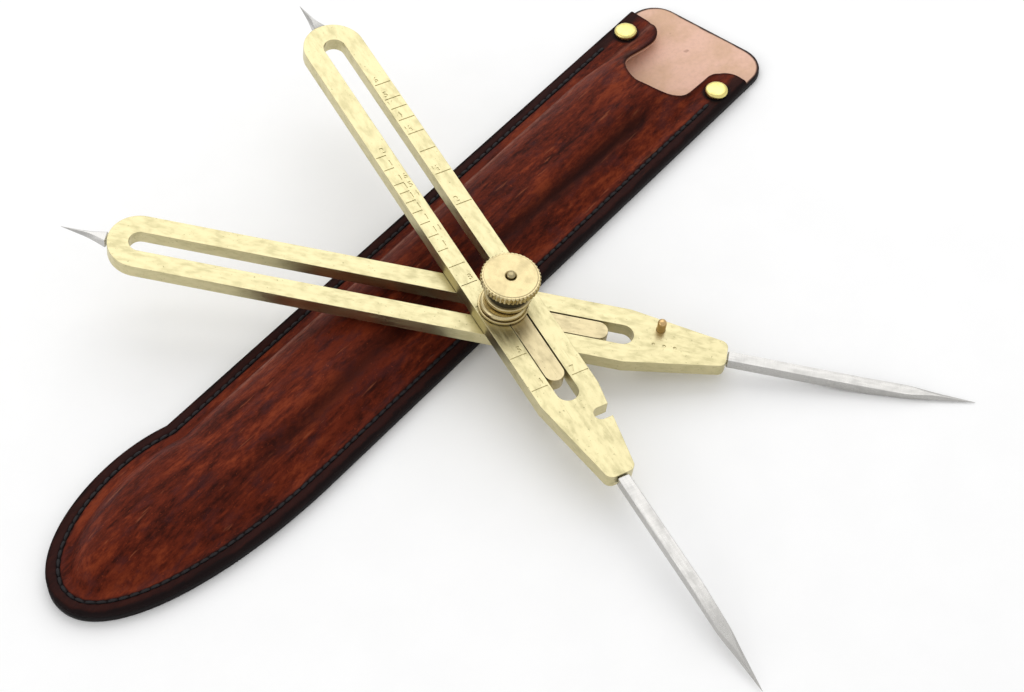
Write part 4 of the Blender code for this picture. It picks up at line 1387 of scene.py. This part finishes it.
def make_rivets(colours):
    """Two domed caps on the front and the two posts whose bases lie sunk in the back."""
    brass = beaten_metal("rivet_brass", colours.rivet_brass)
    low, high = CAP_BOXES[0]
    radius, rise, skirt = (high.x - low.x) / 2, high.z - low.z, -0.00035
    dome = ((0.35, 0.985), (0.62, 0.93), (0.80, 0.84), (0.90, 0.72), (0.97, 0.50), (1, 0.22),
            (0.985, 0))
    cap = [(0, rise), *[(radius * out, rise * up) for out, up in dome], (radius * 0.94, skirt),
           (0, skirt)]
    add_rivets("rivet_caps_brass", "rivet_cap", CAP_BOXES, smoothed(turned(cap, 56), 60), brass)

    low, high = POST_BOXES[0]
    radius, rise, shank, base = (high.x - low.x) / 2, high.z - low.z, 0.0014, 0.0006
    post = [(0, rise), (shank, rise), (shank, base), (radius - 0.0002, base),
            (radius, base - 0.0002), (radius, 0.0002), (radius - 0.00008, 0.00006),
            (radius - 0.0003, 0), (shank, 0), (shank * 0.8, 0.00025), (shank * 0.4, 0.0004),
            (0, 0.00042)]
    add_rivets("rivet_posts_brass", "rivet_post", POST_BOXES, smoothed(turned(post, 48), 50), brass)


# --- Stage -------------------------------------------------------------------------------------

def soft_box(name, place, aim, width, height, power):
    light = bpy.data.lights.new(name, "AREA")
    light.shape = "RECTANGLE"
    light.size, light.size_y = width, height
    light.energy = power
    lamp = bpy.data.objects.new(name, light)
    bpy.context.scene.collection.objects.link(lamp)
    lamp.location = place
    lamp.rotation_euler = (Vector(aim) - Vector(place)).to_track_quat("-Z", "Y").to_euler()


def make_floor(stage):
    bm = bmesh.new()
    bmesh.ops.create_circle(bm, cap_ends=True, segments=96, radius=3.0)
    bmesh.ops.translate(bm, verts=bm.verts, vec=(0, 0, -TOUCH))
    floor = bpy.data.objects.new("floor", mesh_from(bm, "floor"))
    bpy.context.scene.collection.objects.link(floor)
    if floor.data.polygons[0].normal.z < 0:
        floor.data.flip_normals()
    floor.data.materials.append(paper_floor(stage.floor))


def make_camera(stage):
    target = Vector(stage.target)
    level = math.cos(stage.elevation)
    back = Vector((math.sin(stage.azimuth) * level, -math.cos(stage.azimuth) * level,
                   math.sin(stage.elevation)))
    camera = bpy.data.cameras.new("camera")
    camera.lens = stage.lens
    camera.sensor_width = 36.0
    camera.clip_start, camera.clip_end = 0.01, 20.0
    seat = bpy.data.objects.new("camera", camera)
    bpy.context.scene.collection.objects.link(seat)
    facing = (-back).to_track_quat("-Z", "Y").to_matrix().to_4x4()
    roll = Matrix.Rotation(stage.roll, 4, "Z")
    seat.matrix_world = Matrix.Translation(target + back * stage.camera_distance) @ facing @ roll
    bpy.context.scene.camera = seat


def make_lights(stage):
    world = bpy.data.worlds.new("studio")
    bpy.context.scene.world = world
    world.use_nodes = True
    sky = world.node_tree.nodes["Background"]
    sky.inputs["Color"].default_value = (1.0, 1.0, 1.0, 1.0)
    sky.inputs["Strength"].default_value = stage.sky
    aim = (0.0, -0.02, 0.0)
    soft_box("overhead", (0.60, 0.48, 0.92), aim, 1.2, 1.2, 5.0)
    soft_box("window", (-1.10, 0.55, 0.60), aim, 0.9, 0.7, 2.4)


# --- Operators ---------------------------------------------------------------------------------

class DIVIDERS_OT_legs(Operator):
    """Make the two slotted brass legs with their scales"""
    bl_idname = "dividers.legs"
    bl_label = "Brass Legs"

    def execute(self, context):
        scene = context.scene
        for name in ("lower", "upper"):
            make_leg(name, scene.dividers_sizes, scene.dividers_finish)
        return {"FINISHED"}


class DIVIDERS_OT_points(Operator):
    """Make the four ground steel points"""
    bl_idname = "dividers.points"
    bl_label = "Steel Points"

    def execute(self, context):
        make_points(context.scene.dividers_sizes, context.scene.dividers_finish)
        return {"FINISHED"}


class DIVIDERS_OT_sliders(Operator):
    """Make the two sliders that run in the legs' slots"""
    bl_idname = "dividers.sliders"
    bl_label = "Sliders"

    def execute(self, context):
        make_sliders(context.scene.dividers_sizes, context.scene.dividers_finish)
        return {"FINISHED"}


class DIVIDERS_OT_peg(Operator):
    """Make the closing peg on the lower leg"""
    bl_idname = "dividers.peg"
    bl_label = "Closing Peg"

    def execute(self, context):
        make_peg(context.scene.dividers_finish)
        return {"FINISHED"}


class DIVIDERS_OT_clamp(Operator):
    """Make the pivot's stud, washer, collar and knurled thumb nut"""
    bl_idname = "dividers.clamp"
    bl_label = "Pivot Clamp"

    def execute(self, context):
        make_clamp(context.scene.dividers_sizes, context.scene.dividers_finish)
        return {"FINISHED"}


class DIVIDERS_OT_sheath_front(Operator):
    """Make the moulded front panel of the sheath"""
    bl_idname = "dividers.sheath_front"
    bl_label = "Sheath Front"

    def execute(self, context):
        make_sheath_front(context.scene.sheath_sizes, context.scene.dividers_finish)
        return {"FINISHED"}


class DIVIDERS_OT_sheath_back(Operator):
    """Make the flat back panel and flap of the sheath"""
    bl_idname = "dividers.sheath_back"
    bl_label = "Sheath Back"

    def execute(self, context):
        make_sheath_back(context.scene.sheath_sizes, context.scene.dividers_finish)
        return {"FINISHED"}


class DIVIDERS_OT_stitches(Operator):
    """Lay the stitches along both sides of the seam"""
    bl_idname = "dividers.stitches"
    bl_label = "Stitches"

    def execute(self, context):
        make_stitches(context.scene.sheath_sizes, context.scene.dividers_finish)
        return {"FINISHED"}


class DIVIDERS_OT_rivets(Operator):
    """Set the rivets' caps and posts"""
    bl_idname = "dividers.rivets"
    bl_label = "Rivets"

    def execute(self, context):
        make_rivets(context.scene.dividers_finish)
        return {"FINISHED"}


class DIVIDERS_OT_stage(Operator):
    """Set the pale floor, the soft lights and the camera"""
    bl_idname = "dividers.stage"
    bl_label = "Stage"

    def execute(self, context):
        stage = context.scene.dividers_stage
        make_floor(stage)
        make_lights(stage)
        make_camera(stage)
        context.scene.view_settings.view_transform = "Standard"
        return {"FINISHED"}


OPERATORS = (DIVIDERS_OT_legs, DIVIDERS_OT_points, DIVIDERS_OT_sliders, DIVIDERS_OT_peg,
             DIVIDERS_OT_clamp, DIVIDERS_OT_sheath_front, DIVIDERS_OT_sheath_back,
             DIVIDERS_OT_stitches, DIVIDERS_OT_rivets, DIVIDERS_OT_stage)
GROUPS = {"dividers_sizes": DividersSizes, "sheath_sizes": SheathSizes,
          "dividers_finish": DividersFinish, "dividers_stage": DividersStage}


class DIVIDERS_PT_pieces(Panel):
    """Lists the pieces that can be made"""
    bl_label = "Dividers and Sheath"
    bl_idname = "DIVIDERS_PT_pieces"
    bl_space_type = "VIEW_3D"
    bl_region_type = "UI"
    bl_category = "Dividers"

    def draw(self, context):
        column = self.layout.column(align=True)
        for operator in OPERATORS:
            column.operator(operator.bl_idname)


def register():
    for made in (*GROUPS.values(), *OPERATORS, DIVIDERS_PT_pieces):
        bpy.utils.register_class(made)
    for name, group in GROUPS.items():
        setattr(bpy.types.Scene, name, PointerProperty(type=group))


def unregister():
    for name in GROUPS:
        delattr(bpy.types.Scene, name)
    for made in (DIVIDERS_PT_pieces, *reversed(OPERATORS), *reversed(GROUPS.values())):
        bpy.utils.unregister_class(made)


def main():
    register()
    bpy.ops.dividers.legs()
    bpy.ops.dividers.points()
    bpy.ops.dividers.sliders()
    bpy.ops.dividers.peg()
    bpy.ops.dividers.clamp()
    bpy.ops.dividers.sheath_front()
    bpy.ops.dividers.sheath_back()
    bpy.ops.dividers.stitches()
    bpy.ops.dividers.rivets()
    bpy.ops.dividers.stage()


if __name__ == "__main__":
    main()
